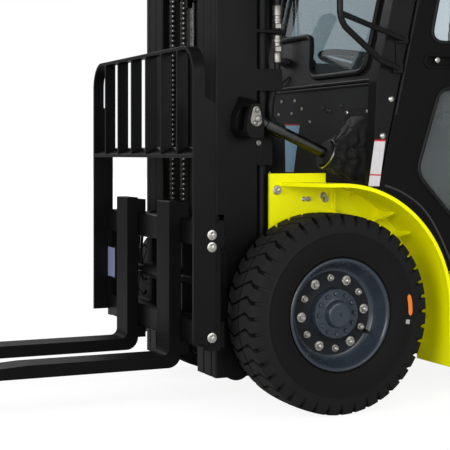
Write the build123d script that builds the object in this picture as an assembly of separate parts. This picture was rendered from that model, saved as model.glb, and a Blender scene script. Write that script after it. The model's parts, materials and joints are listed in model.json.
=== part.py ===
from build123d import *
import os
from math import hypot, radians, sin, tan

# Counterbalance forklift with a full cab, a three-stage mast and a side shifter.
# Sizes in mm. While drawing, x = 0 is the front axle, y = 0 the middle, z = 0 the ground.
# The save step moves everything along x so that the origin is the middle of the length.

# Main sizes
wheelbase = 1700.0
rear_overhang = 490.0
fork_face_x = 526.4
fork_length = 1070.0
overall_length = rear_overhang + wheelbase + fork_face_x + fork_length
front_axle_x = rear_overhang + wheelbase - overall_length / 2
steer_x = -wheelbase

# Fits
run_gap = 0.3

# Wheels
front_r = 355.5
front_w = 222.0
front_y = 501.0
front_rim_r = 196.5
front_bead_r = 184.0
front_bore_r = 40.0
rear_r = 293.0
rear_w = 175.0
rear_y = 487.0
rear_rim_r = 141.0
rear_bead_r = 129.0
rear_bore_r = 25.0

# Front axle
axle_tube_r = 62.0
drum_r = 150.0

# Chassis plates and fenders
plate_y0 = 362.0
plate_y1 = 374.0
fender_r = 462.0
fender_sheet = 6.0
fender_outer_y = 605.0
fender_front_x = 125.0
fender_bottom_z = 140.0
lip_depth = 14.0
lip_sheet = 8.0
fender_corner_x = 51.0
gusset_reach = 96.0
gusset_root = 56.0
gusset_tip = 12.0
sill_top = 480.0
sill_y = 585.0
floor_z = 608.0
engine_low = 430.0
rear_wall_x = -1330.0
panel_x = -175.0
panel_top = 1180.0
cover_top = 1060.0
rear_post = 65.0
rear_sill = 50.0

# Cab
cab_y0 = 530.0
cab_y1 = 588.0
door_y0 = 558.0
door_y1 = 590.0
roof_top = 2150.0
roof_deep = 70.0
cab_top = roof_top - roof_deep
roof_front = 94.0
roof_bar = 84.0
screen_x = -196.0
screen_z = 1195.0
screen_low = 1226.0
screen_y = 422.0
screen_sheet = 6.0
notch_top = 1404.0
notch_low_y = -12.0
notch_high_y = -65.0
pillar_lean = 0.2303
door_foot = (-157.0, 805.0)
pillar_b_x = -1014.0
door_hinge_x = -1008.0
door_hinge_y = 600.0
door_gap = 6.0
hinge_levels = (700.0, 1250.0, 1800.0)
hinge_r = 9.0
hinge_half = 40.0
hinge_ear = 20.0

# Mast
rail_x0 = 209.0
rail_x1 = 374.0
rail_mid_x = (rail_x0 + rail_x1) / 2
flange = 18.0
rail_round = 5.0
rail_foot_r = 58.0
outer_y0 = 316.0
outer_y1 = 355.0
middle_y0 = 246.0
middle_y1 = 311.0
inner_y0 = 180.0
inner_y1 = 241.0
web = 17.0
rail_bottom = 120.0
stage_top = 2075.0
outer_top = stage_top - 15
cross_high = 85.0
lift_top = stage_top - 325
roller_r = (rail_x1 - rail_x0) / 2 - flange - run_gap
lift_x = 174.0
lift_y = 310.0
lift_r = 28.0
lift_rod_r = 20.0
free_x = 315.0
free_r = 45.0
free_rod_r = 25.0
free_gland_z = 1331.0
sheave_r = 65.0
sheave_z = 1560.0
chain_y = 55.0
hose_x = 115.0
hose_y = 325.0
hose_r = 12.0
hose_bend = 70.0
hose_turn_z = 1235.0
port_x = 155.0
port_y = 348.0
port_z = 1045.0
clamp_z = 1362.0

# Tilt cylinders
tilt_y = 410.0
tilt_rear = (-271.0, 821.0)
tilt_front = (250.0, 1049.0)
tilt_pin_r = 16.0
tilt_eye_pin_r = 14.0
tilt_eye_bore_r = 20.0
boot_wide = 160.0
boot_high = 270.0
boot_z = 933.0
boot_corner = 40.0
boot_sheet = 6.0
tilt_barrel_r = 42.0
tilt_rod_r = 20.0

# Carriage, side shifter, backrest and forks
carriage_x0 = 396.0
carriage_x1 = 430.0
shift_x0 = 436.0
shift_x1 = 480.0
bar_low_z = 250.0
bar_top_z = 690.0
bar_high = 90.0
shift_rod_r = 14.0
rest_y = 547.0
rest_x = 540.0
rest_top = 1293.0
rest_cross_z = 920.0
rest_cross_rise = 25.0
rest_deep = 42.0
fork_thick = 45.0
fork_w = 125.0
fork_y = 223.5
fork_under = 156.5
fork_top = 752.0
fork_tip = 10.0
heel_r = 48.0
heel_inner_r = 26.0
bar_round = 8.0

# Steer axle
king_y = 383.0
king_r = 20.0
steer_arm = 120.0
tie_z = 420.0
tie_r = 12.0
tie_eye_r = 16.0
tie_pin_r = 8.0

# Tow jaw
tow_pin_hole_r = 17.0

# Steering wheel
wheel_r = 165.0

# Engine hood and seat
hood_hinge = (-1290.0, 1045.0)
hood_front = -800.0
hood_y = 525.0


def block(x0, x1, y0, y1, z0, z1):
    middle = Pos((x0 + x1) / 2, (y0 + y1) / 2, (z0 + z1) / 2)
    return middle * Box(x1 - x0, y1 - y0, z1 - z0)


def rod_x(r, y, z, x0, x1):
    return Pos((x0 + x1) / 2, y, z) * Rot(0, 90, 0) * Cylinder(r, x1 - x0)


def rod_y(r, x, z, y0, y1):
    return Pos(x, (y0 + y1) / 2, z) * Rot(90, 0, 0) * Cylinder(r, y1 - y0)


def rod_z(r, x, y, z0, z1):
    return Pos(x, y, (z0 + z1) / 2) * Cylinder(r, z1 - z0)


def rod_between(a, b, r):
    axis = Vector(*b) - Vector(*a)
    start = Plane(origin=a, z_dir=axis)
    return extrude(start * Circle(r), amount=axis.length)


def side_plate(sketch, y0, y1):
    # A sketch drawn in x and z, made as thick as y0 to y1.
    return Pos(0, y0, 0) * extrude(Plane.XZ * sketch, amount=y1 - y0, dir=(0, 1, 0))


def outline(*points):
    return Polygon(*points, align=None)


def area(x0, x1, z0, z1):
    return Pos((x0 + x1) / 2, (z0 + z1) / 2) * Rectangle(x1 - x0, z1 - z0)


def spin(profile):
    # A profile drawn in y and radius, turned about the wheel's axis.
    return revolve(Plane.YZ * profile, axis=Axis.Y)


def softened(sketch, *corners):
    # Rounds the corners named by (x, z, radius).
    for x, z, r in corners:
        sketch = fillet(corner(sketch, x, z), r)
    return sketch


def corner(sketch, x, z):
    # The sketch's corner nearest to a point.
    return sketch.vertices().sort_by_distance((x, z, 0))[0]


def rounded_area(x0, x1, z0, z1, r):
    sketch = area(x0, x1, z0, z1)
    return fillet(sketch.vertices(), r)


def both(shape):
    return [shape, mirror(shape, about=Plane.XZ)]


def joined(shape):
    return shape + mirror(shape, about=Plane.XZ)


def tube(points, r, bend):
    # A round bar through the points, each corner bent to the same radius.
    spots = [Vector(*p) for p in points]
    start = spots[0]
    shape = None
    for before, here, after in zip(spots, spots[1:], spots[2:]):
        come = (here - before).normalized()
        leave = (after - here).normalized()
        turn = come.get_angle(leave)
        cut = bend * tan(radians(turn / 2))
        first = here - come * cut
        normal = come.cross(leave).normalized()
        middle = first + normal.cross(come) * bend
        straight = rod_between(tuple(start), tuple(first), r)
        shape = straight if shape is None else shape + straight
        ring = Plane(origin=first, z_dir=come) * Circle(r)
        shape += revolve(ring, axis=Axis(middle, normal), revolution_arc=turn)
        start = here + leave * cut
    return shape + rod_between(tuple(start), tuple(spots[-1]), r)


def door_edge(z):
    return door_foot[0] - pillar_lean * (z - door_foot[1])


def chassis_frame():
    disc = Pos(0, front_r) * Circle(fender_r - fender_sheet)
    well = disc & area(-fender_r + fender_sheet, -60, 190, 900)
    front = outline((-60, 850), (171, 850), (171, 430), (95, 270), (-60, 270))
    behind = area(-fender_r, -60, 190, front_r)
    sheet = front + well + behind - Pos(0, front_r) * Circle(axle_tube_r + run_gap)
    half = side_plate(sheet, plate_y0, plate_y1)
    half += block(rear_wall_x, -200, 300, plate_y0 + 4, sill_top, 540)
    half += block(-800, -470, 525, 540, sill_top, floor_z)
    half += block(-340, -320, plate_y0, tilt_y + 32, 690, 850)
    half += block(-325, -245, tilt_y - 32, tilt_y - 20, 770, 850)
    half += block(-325, -245, tilt_y + 20, tilt_y + 32, 770, 850)
    half += rod_y(tilt_pin_r, *tilt_rear, tilt_y - 30, tilt_y + 30)
    half += block(-340, -300, plate_y0, plate_y1, 600, 850)
    whole = joined(half)
    whole += block(-830, -125, -plate_y0 - 4, plate_y0 + 4, floor_z - 8, floor_z)
    whole += block(-830, -475, -545, 545, floor_z - 8, floor_z)
    whole += block(-140, -125, -plate_y0 - 4, plate_y0 + 4, 460, 780)
    for x in (-930, -1250):
        whole += block(x, x + 50, -302, 302, 400, engine_low)
        for y in (-302, 286):
            whole += block(x, x + 50, y, y + 16, 400, 500)
    whole += block(rear_wall_x, -1305, -plate_y0 - 4, plate_y0 + 4, sill_top, 560)
    return [whole]


def side_tanks():
    half = block(rear_wall_x, -fender_r, 330, sill_y, 175, sill_top)
    half -= block(-850, -500, 470, sill_y + 10, 320, sill_top + 10)
    return both(half)


def front_fenders():
    centre = Pos(0, front_r)
    quarter = area(-fender_r - 5, 0, front_r, front_r + fender_r + 5)
    sheet = (centre * Circle(fender_r) - centre * Circle(fender_r - fender_sheet)) & quarter
    top = front_r + fender_r
    sheet += area(0, fender_front_x, top - fender_sheet, top)
    sheet += area(-fender_r, -fender_r + fender_sheet, fender_bottom_z, front_r)
    half = side_plate(sheet, plate_y1, fender_outer_y)
    lip = (centre * Circle(fender_r) - centre * Circle(fender_r - lip_depth)) & quarter
    lip += area(0, fender_corner_x, top - lip_depth, top)
    lip += area(-fender_r, -fender_r + lip_depth, fender_bottom_z + 20, front_r)
    half += side_plate(lip, fender_outer_y - lip_sheet, fender_outer_y)
    # The front edge runs back from the frame plate to the outer lip.
    slant = [(fender_front_x, plate_y1), (fender_corner_x, fender_outer_y)]
    beyond = outline(*slant, (fender_corner_x, fender_outer_y + 9), (fender_front_x + 9, fender_outer_y + 9))
    beyond += outline((fender_front_x, plate_y1 - 9), *slant, (fender_front_x + 9, fender_outer_y + 9))
    half -= Pos(0, 0, top - 2 * lip_depth) * extrude(beyond, amount=3 * lip_depth, dir=(0, 0, 1))
    strip = outline(*slant, (fender_corner_x - lip_sheet, fender_outer_y), (fender_front_x - lip_sheet, plate_y1))
    half += Pos(0, 0, top - lip_depth) * extrude(strip, amount=lip_depth, dir=(0, 0, 1))
    inside = fender_r - fender_sheet + 1
    tip_y = plate_y1 + gusset_reach
    gusset = outline(
        (plate_y1, inside), (tip_y, inside), (tip_y, inside - gusset_tip), (plate_y1, inside - gusset_root)
    )
    stay = outline((plate_y1, inside), (plate_y1 + 26, inside), (plate_y1, inside - 24))
    for sketch, angle in ((stay, -21), (gusset, -40), (gusset, -53)):
        plate = Pos(-3, 0, 0) * extrude(Plane.YZ * sketch, amount=6, dir=(1, 0, 0))
        half += Pos(0, 0, front_r) * Rot(0, angle, 0) * plate
    half += block(-92, -84, plate_y1, plate_y1 + 22, 690, top - 12)
    arch = (centre * Circle(432) - centre * Circle(372)) & outline((0, front_r), (-95, 900), (-330, 830))
    half += side_plate(arch, plate_y1, plate_y1 + 5)
    return both(half)


def drive_axle():
    shape = rod_y(axle_tube_r, 0, front_r, -395, 395)
    shape += rod_y(128, 0, front_r, -105, 105)
    shape += rod_x(78, 0, front_r, -235, 0)
    half = rod_y(drum_r, 0, front_r, 394, 496)
    half += rod_y(front_bore_r, 0, front_r, 490, 552)
    return [shape + joined(half)]


def tyre(r, w, bead, edge, x, y):
    # A flat tread, sloped shoulders and walls that bulge from the rim's edge.
    h = w / 2
    seat = 0.78 * h
    low = (seat, edge + 3)
    high = (0.9 * h, r - 8)
    wide = (h, bead + 0.6 * (r - bead))
    near = [Line((seat, bead), low), ThreePointArc(low, wide, high), Line(high, (seat, r))]
    far = [mirror(line, about=Plane.YZ) for line in near]
    flat = [Line((seat, bead), (-seat, bead)), Line((seat, r), (-seat, r))]
    return Pos(x, y, r) * spin(make_face(near + far + flat))


def front_rim(y):
    b = front_bore_r + run_gap
    seat = 0.78 * front_w / 2
    bead = front_bead_r - run_gap
    edge = front_rim_r
    outer = [(-93, edge), (-seat - 0.5, edge), (-seat - 0.5, bead), (seat + 0.5, bead)]
    outer += [(seat + 0.5, edge), (93, edge), (93, 175), (46, 166), (42, 158), (42, 88)]
    outer += [(64, 87), (64, 47), (91, 45), (91, 0), (58, 0), (58, b), (4, b), (4, 87)]
    outer += [(26, 88), (26, 156), (20, 164), (-93, 172)]
    profile = softened(outline(*outer), (93, edge, 4), (93, 175, 5), (46, 166, 9), (42, 158, 9), (64, 87, 4), (91, 45, 7))
    return Pos(0, y, front_r) * spin(profile)


def rear_rim(y):
    b = rear_bore_r + run_gap
    seat = 0.78 * rear_w / 2
    bead = rear_bead_r - run_gap
    edge = rear_rim_r
    outer = [(-74, edge), (-seat - 0.5, edge), (-seat - 0.5, bead), (seat + 0.5, bead)]
    outer += [(seat + 0.5, edge), (74, edge), (74, 121), (36, 117), (32, 110), (32, 62)]
    outer += [(46, 60), (46, 34), (62, 32), (62, 0), (50, 0), (50, b), (-6, b), (-6, 60)]
    outer += [(18, 62), (18, 108), (12, 114), (-74, 119)]
    profile = softened(outline(*outer), (74, edge, 3), (74, 121, 3), (36, 117, 5), (32, 110, 5), (46, 60, 3), (62, 32, 6))
    return Pos(steer_x, y, rear_r) * spin(profile)


def steer_axle():
    half = block(steer_x - 40, steer_x + 40, -2, 330, 235, 345)
    half += block(steer_x - 34, steer_x + 34, 312, 340, 200, 386)
    for low, high in ((200, 222), (364, 386)):
        arm = block(steer_x - 32, steer_x + 32, 330, king_y, low, high)
        arm += rod_z(32, steer_x, king_y, low, high)
        half += arm - rod_z(king_r + run_gap, steer_x, king_y, low - 5, high + 5)
    whole = joined(half)
    whole += block(steer_x - 24, steer_x + 74, -88, 88, 300, sill_top)
    return [whole]


def knuckle(side):
    half = rod_z(30, steer_x, king_y, 223, 363)
    half += rod_z(king_r, steer_x, king_y, 198, 398)
    half += block(steer_x - steer_arm, steer_x, king_y - 13, king_y + 13, 392, 405)
    half += rod_z(tie_eye_r, steer_x - steer_arm, king_y, 392, 405)
    half += rod_z(tie_pin_r, steer_x - steer_arm, king_y, 400, tie_z + 14)
    half += rod_z(24, steer_x, king_y, 392, 405)
    half += rod_y(36, steer_x, rear_r, king_y, 466)
    half += rod_y(rear_bore_r, steer_x, rear_r, 460, 532)
    if side < 0:
        half = mirror(half, about=Plane.XZ)
    return [half]


def steer_rod():
    # The track rod joins the eyes of the two knuckle arms.
    link_x = steer_x - steer_arm
    shape = rod_y(tie_r, link_x, tie_z, -king_y, king_y)
    for y in (-king_y, king_y):
        shape += rod_z(tie_eye_r, link_x, y, tie_z - tie_r - 1, tie_z + tie_r + 1)
    for y in (-king_y, king_y):
        shape -= rod_z(tie_pin_r + run_gap, link_x, y, tie_z - 30, tie_z + 30)
    return [shape]


def counterweight():
    rear = steer_x - rear_overhang
    side = outline(
        (rear_wall_x, sill_top), (rear_wall_x, 1078), (rear, 1078), (rear, 240), (rear + 180, 240),
        (rear + 180, sill_top)
    )
    side = softened(side, (rear, 1078, 200), (rear, 240, 120))
    shape = side_plate(side, -sill_y, sill_y)
    plan = Pos((rear + rear_wall_x) / 2, 0) * Rectangle(rear_wall_x - rear, 2 * sill_y)
    back = plan.vertices().sort_by(Axis.X)[:2]
    plan = fillet(back, 250)
    shape = shape & (Pos(0, 0, 200) * extrude(plan, amount=1000, dir=(0, 0, 1)))
    arch = Pos(steer_x, 320) * RectangleRounded(690, 640, 180)
    arch += area(steer_x - 345, steer_x + 345, -10, 320)
    for y0, y1 in ((92, 700), (-700, -92)):
        shape -= side_plate(arch, y0, y1)
    shape -= block(rear - 10, rear + 60, -290, 290, 590, 860)
    for level in range(620, 850, 50):
        shape += block(rear + 14, rear + 62, -292, 292, level - 7, level + 7)
    shape -= block(rear - 10, rear + 125, -55, 55, 330, 400)
    shape -= block(rear - 10, rear + 125, -40, 40, 440, 540)
    shape -= rod_z(tow_pin_hole_r, rear + 90, 0, 200, 450)
    return [shape]


def engine_block():
    return [block(-1285, -850, -225, 225, engine_low, 930)]


def body_covers():
    half = block(rear_wall_x, -1062, 540, sill_y, sill_top, cover_top)
    wall = block(rear_wall_x, -1306, -540, 540, 560, cover_top - 16)
    return [joined(half) + wall]


def cab_frame():
    post = outline(
        (-132, 760), (-150, panel_top), (-150 - pillar_lean * (cab_top - panel_top), cab_top),
        (door_edge(cab_top), cab_top), (door_edge(760), 760)
    )
    half = side_plate(post, cab_y0, cab_y1)
    half -= rod_y(fender_r + run_gap, 0, front_r, 0, 700)
    half += block(pillar_b_x - 48, pillar_b_x, cab_y0, cab_y1, sill_top, cab_top)
    for z in hinge_levels:
        for low in (z - hinge_half - run_gap - hinge_ear, z + hinge_half + run_gap):
            half += rod_z(hinge_r, door_hinge_x, door_hinge_y, low, low + hinge_ear)
            half += block(pillar_b_x - 30, door_hinge_x, cab_y1 - 1, door_hinge_y, low, low + hinge_ear)
    half += block(rear_wall_x, rear_wall_x + rear_post, cab_y0, cab_y1, cover_top, cab_top)
    half += block(rear_wall_x + rear_post, pillar_b_x - 48, cab_y0, cab_y1, cover_top, cover_top + rear_sill)
    half += block(rear_wall_x, door_edge(cab_top) + roof_front, cab_y0, cab_y1, cab_top, roof_top - 10)
    whole = joined(half)
    front_rail = door_edge(cab_top) + roof_front - roof_bar
    whole += block(front_rail, front_rail + roof_bar, -cab_y1, cab_y1, cab_top, roof_top - 10)
    whole += block(rear_wall_x, rear_wall_x + rear_post, -cab_y1, cab_y1, cab_top, roof_top - 10)
    whole += block(rear_wall_x, rear_wall_x + rear_post, -cab_y1, cab_y1, cover_top, cover_top + rear_sill)
    whole += block(-240, panel_x - 6, -cab_y0 - 2, cab_y0 + 2, 1130, screen_z)
    surround = screen_plane() * (screen_field(cab_y0 + 2, 2) - screen_window())
    whole += extrude(surround, amount=-screen_sheet)
    for y in range(-400, 401, 160):
        whole += block(rear_wall_x + 60, front_rail + 5, y - 14, y + 14, roof_top - 40, roof_top)
    return [whole]


def screen_plane():
    # The leaning plane of the windscreen, drawn across and up from its foot.
    return Plane(origin=(screen_x, 0, screen_z), x_dir=(0, 1, 0), z_dir=(1, 0, pillar_lean))


def up_screen(z):
    return (z - screen_z) * hypot(1, pillar_lean)


def screen_field(half_width, edge):
    return area(-half_width, half_width, up_screen(screen_z) - edge, up_screen(cab_top) + edge)


def screen_window():
    # The lower far part stays closed behind the wiper.
    top = up_screen(cab_top - 60)
    low = up_screen(screen_low)
    step = up_screen(notch_top)
    shape = outline(
        (screen_y, low), (screen_y, top), (-screen_y, top), (-screen_y, step), (notch_high_y, step), (notch_low_y, low)
    )
    return softened(
        shape, (screen_y, low, 65), (screen_y, top, 60), (-screen_y, top, 60), (-screen_y, step, 40),
        (notch_high_y, step, 35), (notch_low_y, low, 30)
    )


def cab_glass():
    screen = extrude(screen_plane() * screen_window(), amount=-screen_sheet)
    x0 = rear_wall_x + 30
    rear = block(x0, x0 + 6, -cab_y0, cab_y0, cover_top + rear_sill, cab_top)
    front_rail = door_edge(cab_top) + roof_front - roof_bar
    roof = block(rear_wall_x + rear_post, front_rail, -cab_y0, cab_y0, cab_top + 12, cab_top + 18)
    quarter = block(rear_wall_x + rear_post, pillar_b_x - 48, 556, 562, cover_top + rear_sill, cab_top)
    return [screen, rear, roof] + both(quarter)


def front_panel():
    shape = block(panel_x - 6, panel_x, -cab_y0, cab_y0, 790, panel_top)
    inset = 2 * boot_sheet + 2
    hole = RectangleRounded(boot_wide - inset, boot_high - inset, boot_corner - boot_sheet - 1)
    hole = Pos(-10, 0, 0) * extrude(boot_foot() * hole, amount=20)
    return [shape - hole - mirror(hole, about=Plane.XZ)]


def boot_foot():
    return Plane(origin=(panel_x, tilt_y, boot_z), x_dir=(0, 1, 0), z_dir=(1, 0, 0))


def tilt_point(distance):
    dx = tilt_front[0] - tilt_rear[0]
    dz = tilt_front[1] - tilt_rear[1]
    length = hypot(dx, dz)
    return (tilt_rear[0] + dx * distance / length, tilt_y, tilt_rear[1] + dz * distance / length)


def tilt_length():
    return hypot(tilt_front[0] - tilt_rear[0], tilt_front[1] - tilt_rear[1])


def tilt_boots():
    axis = Vector(*tilt_point(10)) - Vector(*tilt_point(0))
    neck = Plane(origin=tilt_point(252), x_dir=(0, 1, 0), z_dir=axis)
    wide = boot_wide - 2 * boot_sheet
    high = boot_high - 2 * boot_sheet
    edge = boot_foot() * RectangleRounded(boot_wide, boot_high, boot_corner)
    lining = boot_foot() * RectangleRounded(wide, high, boot_corner - boot_sheet)
    outside = loft([edge, neck * Circle(48 + boot_sheet)])
    inside = loft([lining, neck * Circle(49)])
    return both(outside - inside)


def tilt_barrels():
    shape = rod_y(30, *tilt_rear, tilt_y - 18, tilt_y + 18)
    shape += rod_between(tilt_point(62), tilt_point(258), tilt_barrel_r)
    shape += rod_between(tilt_point(20), tilt_point(66), 18)
    shape += rod_between(tilt_point(238), tilt_point(262), 48)
    shape -= rod_between(tilt_point(76), tilt_point(270), tilt_rod_r + run_gap)
    shape -= rod_y(tilt_pin_r + run_gap, *tilt_rear, 300, 500)
    return both(shape)


def tilt_rods():
    shape = rod_between(tilt_point(176), tilt_point(tilt_length() - 26), tilt_rod_r)
    shape += rod_between(tilt_point(tilt_length() - 120), tilt_point(tilt_length() - 50), 26)
    shape += rod_y(32, *tilt_front, tilt_y - 18, tilt_y + 18)
    shape -= rod_y(tilt_eye_bore_r, *tilt_front, 300, 500)
    return both(shape)


def beam(y0, y1, web_y, bottom, top):
    # One rail: two flanges joined by a web whose inner face is at web_y.
    section = area(rail_x0, rail_x0 + flange, y0, y1) + area(rail_x1 - flange, rail_x1, y0, y1)
    section += area(rail_x0, rail_x1, web_y, web_y + web)
    section = fillet(section.vertices(), rail_round)
    return Pos(0, 0, bottom) * extrude(section, amount=top - bottom, dir=(0, 0, 1))


def mast_outer():
    half = beam(outer_y0, outer_y1, outer_y1 - web, rail_bottom, outer_top)
    foot = outline((222, 130), (222, 520), (209, 520), (60, 440), (-30, 440), (-30, 270), (110, 130))
    foot += Pos(0, front_r) * Circle(axle_tube_r + 24)
    foot = foot - Pos(0, front_r) * Circle(axle_tube_r + run_gap)
    half += side_plate(foot, 322, 354)
    half += rod_y(roller_r, rail_mid_x, outer_top - 80, middle_y0 + 47, outer_y1 - web + 2)
    half += rod_z(lift_r, lift_x, lift_y, 190, lift_top)
    half += block(112, lift_x + lift_r, lift_y - lift_r, outer_y1, 165, 195)
    for low, high in ((165, 215), (1150, 1230), (outer_top - 80, outer_top)):
        half += block(120, rail_x0 + 4, outer_y1 - 12, outer_y1, low, high)
        half += block(110, 142, -1, outer_y1, low, high)
    half += block(lift_x - 40, lift_x + 10, lift_y, outer_y1, lift_top - 60, lift_top - 30)
    half += tilt_bracket()
    half += block(150, rail_x0 + 2, outer_y1 - 15, outer_y1, 880, 985)
    half += block(hose_x - 18, rail_x0 + 2, outer_y1 - 12, outer_y1, clamp_z, clamp_z + 12)
    half += block(hose_x - 18, hose_x + 18, hose_y - 16, outer_y1, clamp_z, clamp_z + 12)
    half += block(port_x - 16, lift_x + 12, lift_y + 10, port_y + 14, port_z - 40, port_z + 8)
    half += rod_y(rail_foot_r, rail_mid_x, rail_bottom + 45, outer_y1 - web, outer_y1)
    strip = area(330, 366, 250, 653)
    for z in (268, 586, 632):
        strip -= Pos(348, z) * Circle(7)
    half += side_plate(strip, outer_y1 - 1, outer_y1 + 6)
    half -= block(342, 370, outer_y1 - web, outer_y1 + 10, 667, 703)
    half -= hose(hose_r + run_gap)
    half -= rod_z(lift_rod_r + run_gap, lift_x, lift_y, 260, lift_top + 10)
    return [joined(half)]


def tilt_bracket():
    # A tapered box on the rail, open at the back for the rod's eye, with a window in front.
    root = outline((222, 979), (300, 979), (321, 1010), (321, 1058), (285, 1128), (222, 1118))
    cheek = outline((229, 978), (285, 978), (296, 1000), (293, 1045), (278, 1099), (229, 1099))
    faces = []
    for sketch, y in ((root, outer_y1 - 1), (cheek, tilt_y + 40)):
        faces.append(Pos(0, y, 0) * (Plane.XZ * fillet(sketch.vertices(), 9)))
    shape = loft(faces)
    shape -= block(200, 288, tilt_y - 24, tilt_y + 24, 989, 1090)
    window = Plane(origin=(270, tilt_y, 1046), x_dir=(0, 1, 0), z_dir=(1, 0, 0)) * RectangleRounded(38, 84, 14)
    shape -= extrude(window, amount=80)
    return shape + rod_y(tilt_eye_pin_r, *tilt_front, tilt_y - 26, tilt_y + 46)


def hose(r):
    top = (hose_x, hose_y, stage_top - 115)
    turn = (hose_x, hose_y, hose_turn_z)
    return tube([top, turn, (port_x, port_y, 1095), (port_x, port_y, port_z)], r, hose_bend)


def mast_middle():
    web_y = (middle_y0 + middle_y1 - web) / 2
    half = beam(middle_y0, middle_y1, web_y, rail_bottom, stage_top)
    half += rod_y(roller_r, rail_mid_x, 230, web_y + web - 2, outer_y1 - web - 5)
    half += rod_y(roller_r, rail_mid_x, stage_top - 90, inner_y1 - 17, web_y + 2)
    for low, high in ((240, 320), (stage_top - cross_high, stage_top)):
        half += block(178, 204, -1, 277, low, high)
        half += block(203, rail_x0 + 2, middle_y0, 277, low, high)
    half += block(150, 204, 270, 336, stage_top - 30, stage_top)
    return [joined(half)]


def lift_rods():
    return both(rod_z(lift_rod_r, lift_x, lift_y, 300, stage_top - 30))


def mast_inner():
    web_y = (inner_y0 + inner_y1 - web) / 2
    half = beam(inner_y0, inner_y1, web_y, rail_bottom, stage_top)
    half += rod_y(roller_r, rail_mid_x, 230, web_y + web - 2, (middle_y0 + middle_y1 - web) / 2 - 5)
    for low, high in ((200, 280), (stage_top - cross_high, stage_top)):
        half += block(rail_x0, rail_x0 + 13, -1, inner_y0 + 2, low, high)
    whole = joined(half)
    whole += block(rail_x0 + 10, free_x + 40, -60, 60, 200, 232)
    whole += rod_z(free_r, free_x, 0, 230, free_gland_z - 50)
    whole += rod_z(free_r + 6, free_x, 0, free_gland_z - 50, free_gland_z)
    whole += block(free_x - free_r - 2, free_x - 15, -chain_y - 24, chain_y + 24, 1160, 1190)
    for y in (-chain_y - 24, -chain_y + 17, chain_y - 24, chain_y + 17):
        whole += block(free_x - sheave_r - 16, free_x - free_r, y, y + 7, 1150, 1200)
    whole -= rod_z(free_rod_r + run_gap, free_x, 0, 290, free_gland_z + 10)
    return [whole]


def free_lift_piston():
    shape = rod_z(free_rod_r, free_x, 0, 500, sheave_z - 60)
    shape += block(free_x - 34, free_x + 34, -22, 22, sheave_z - 80, sheave_z + 30)
    shape += rod_y(16, free_x, sheave_z, -chain_y - 22, chain_y + 22)
    for y in (-chain_y, chain_y):
        shape += rod_y(sheave_r - 8 - run_gap, free_x, sheave_z, y - 17, y + 17)
    return [shape]


def lift_chains():
    low_front = 560.0
    low_rear = 1165.0
    ring = Pos(free_x, sheave_z) * Circle(sheave_r + 8) - Pos(free_x, sheave_z) * Circle(sheave_r - 8)
    ring = ring & area(free_x - 100, free_x + 100, sheave_z, sheave_z + 100)
    path = ring + area(free_x + sheave_r - 8, free_x + sheave_r + 8, low_front, sheave_z)
    path += area(free_x - sheave_r - 8, free_x - sheave_r + 8, low_rear, sheave_z)
    return both(side_plate(path, chain_y - 11, chain_y + 11))


def mast_hoses():
    return both(hose(hose_r))


def carriage():
    half = block(246, carriage_x1, 150, 172, bar_low_z, bar_top_z + 10)
    for z in (330, 620):
        half += rod_y(roller_r, rail_mid_x, z, 170, (inner_y0 + inner_y1 - web) / 2 - 5)
    for low in (bar_low_z, bar_top_z - bar_high):
        half += block(carriage_x0, carriage_x1, -1, 480, low, low + bar_high)
    for y in (chain_y - 24, chain_y + 17):
        half += block(366, carriage_x0 + 2, y, y + 7, 610, 690)
    half += block(carriage_x0, carriage_x1, -1, 172, 440, 500)
    whole = joined(half)
    whole += rod_y(30, 445, 470, -140, 140)
    whole -= rod_y(shift_rod_r + run_gap, 445, 470, -150, 150)
    return [whole]


def side_shift_frame():
    half = block(shift_x0, shift_x1, 498, rest_y - 12, bar_low_z, bar_top_z)
    for z, high in ((355, 104), (599, 114)):
        pocket = Plane(origin=(shift_x0 - 10, 516, z), x_dir=(0, 1, 0), z_dir=(1, 0, 0)) * RectangleRounded(24, high, 11)
        half -= extrude(pocket, amount=shift_x1 - shift_x0 + 20)
    for low in (bar_low_z, bar_top_z - bar_high):
        bar = rounded_area(shift_x0, shift_x1, low, low + bar_high, bar_round)
        half += side_plate(bar, -1, rest_y - 12)
        half += block(carriage_x1 + run_gap, shift_x0 + 1, 200, 340, low + 20, low + 70)
    half += rod_y(shift_rod_r, 445, 470, 30, 505)
    whole = half + mirror(half, about=Plane.XZ)
    return [whole]


def backrest():
    frame = Pos(0, (275 + rest_top) / 2) * Rectangle(2 * rest_y, rest_top - 275)
    frame = fillet(frame.vertices().sort_by(Axis.Y)[2:], 100)
    hollow = Pos(0, (275 + rest_top) / 2 - 20) * Rectangle(2 * rest_y - 24, rest_top - 275 + 16)
    hollow = fillet(hollow.vertices().sort_by(Axis.Y)[2:], 88)
    back = rest_x - rest_deep
    shape = Pos(back, 0, 0) * extrude(Plane.YZ * (frame - hollow), amount=rest_deep, dir=(1, 0, 0))
    plate = outline((458, 275), (rest_x, 275), (rest_x, 1100), (500, 1115), (458, 1094))
    shape += joined(side_plate(plate, rest_y - 12, rest_y))
    high = rest_cross_z + rest_cross_rise
    cross = outline((rest_x, rest_cross_z - 12), (rest_x, rest_cross_z), (back, high), (back, high - 12))
    shape += side_plate(cross, -rest_y + 6, rest_y - 6)
    return [shape]


def backrest_bars():
    # Each bar stands on the sloped cross bar.
    back = rest_x - rest_deep
    top = rest_top - 12
    side = outline((rest_x, rest_cross_z), (rest_x, top), (back, top), (back, rest_cross_z + rest_cross_rise))
    bars = []
    for i in range(6):
        y = (i - 2.5) * 2 * rest_y / 7
        bars.append(side_plate(side, y - 5, y + 5))
    return bars


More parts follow.
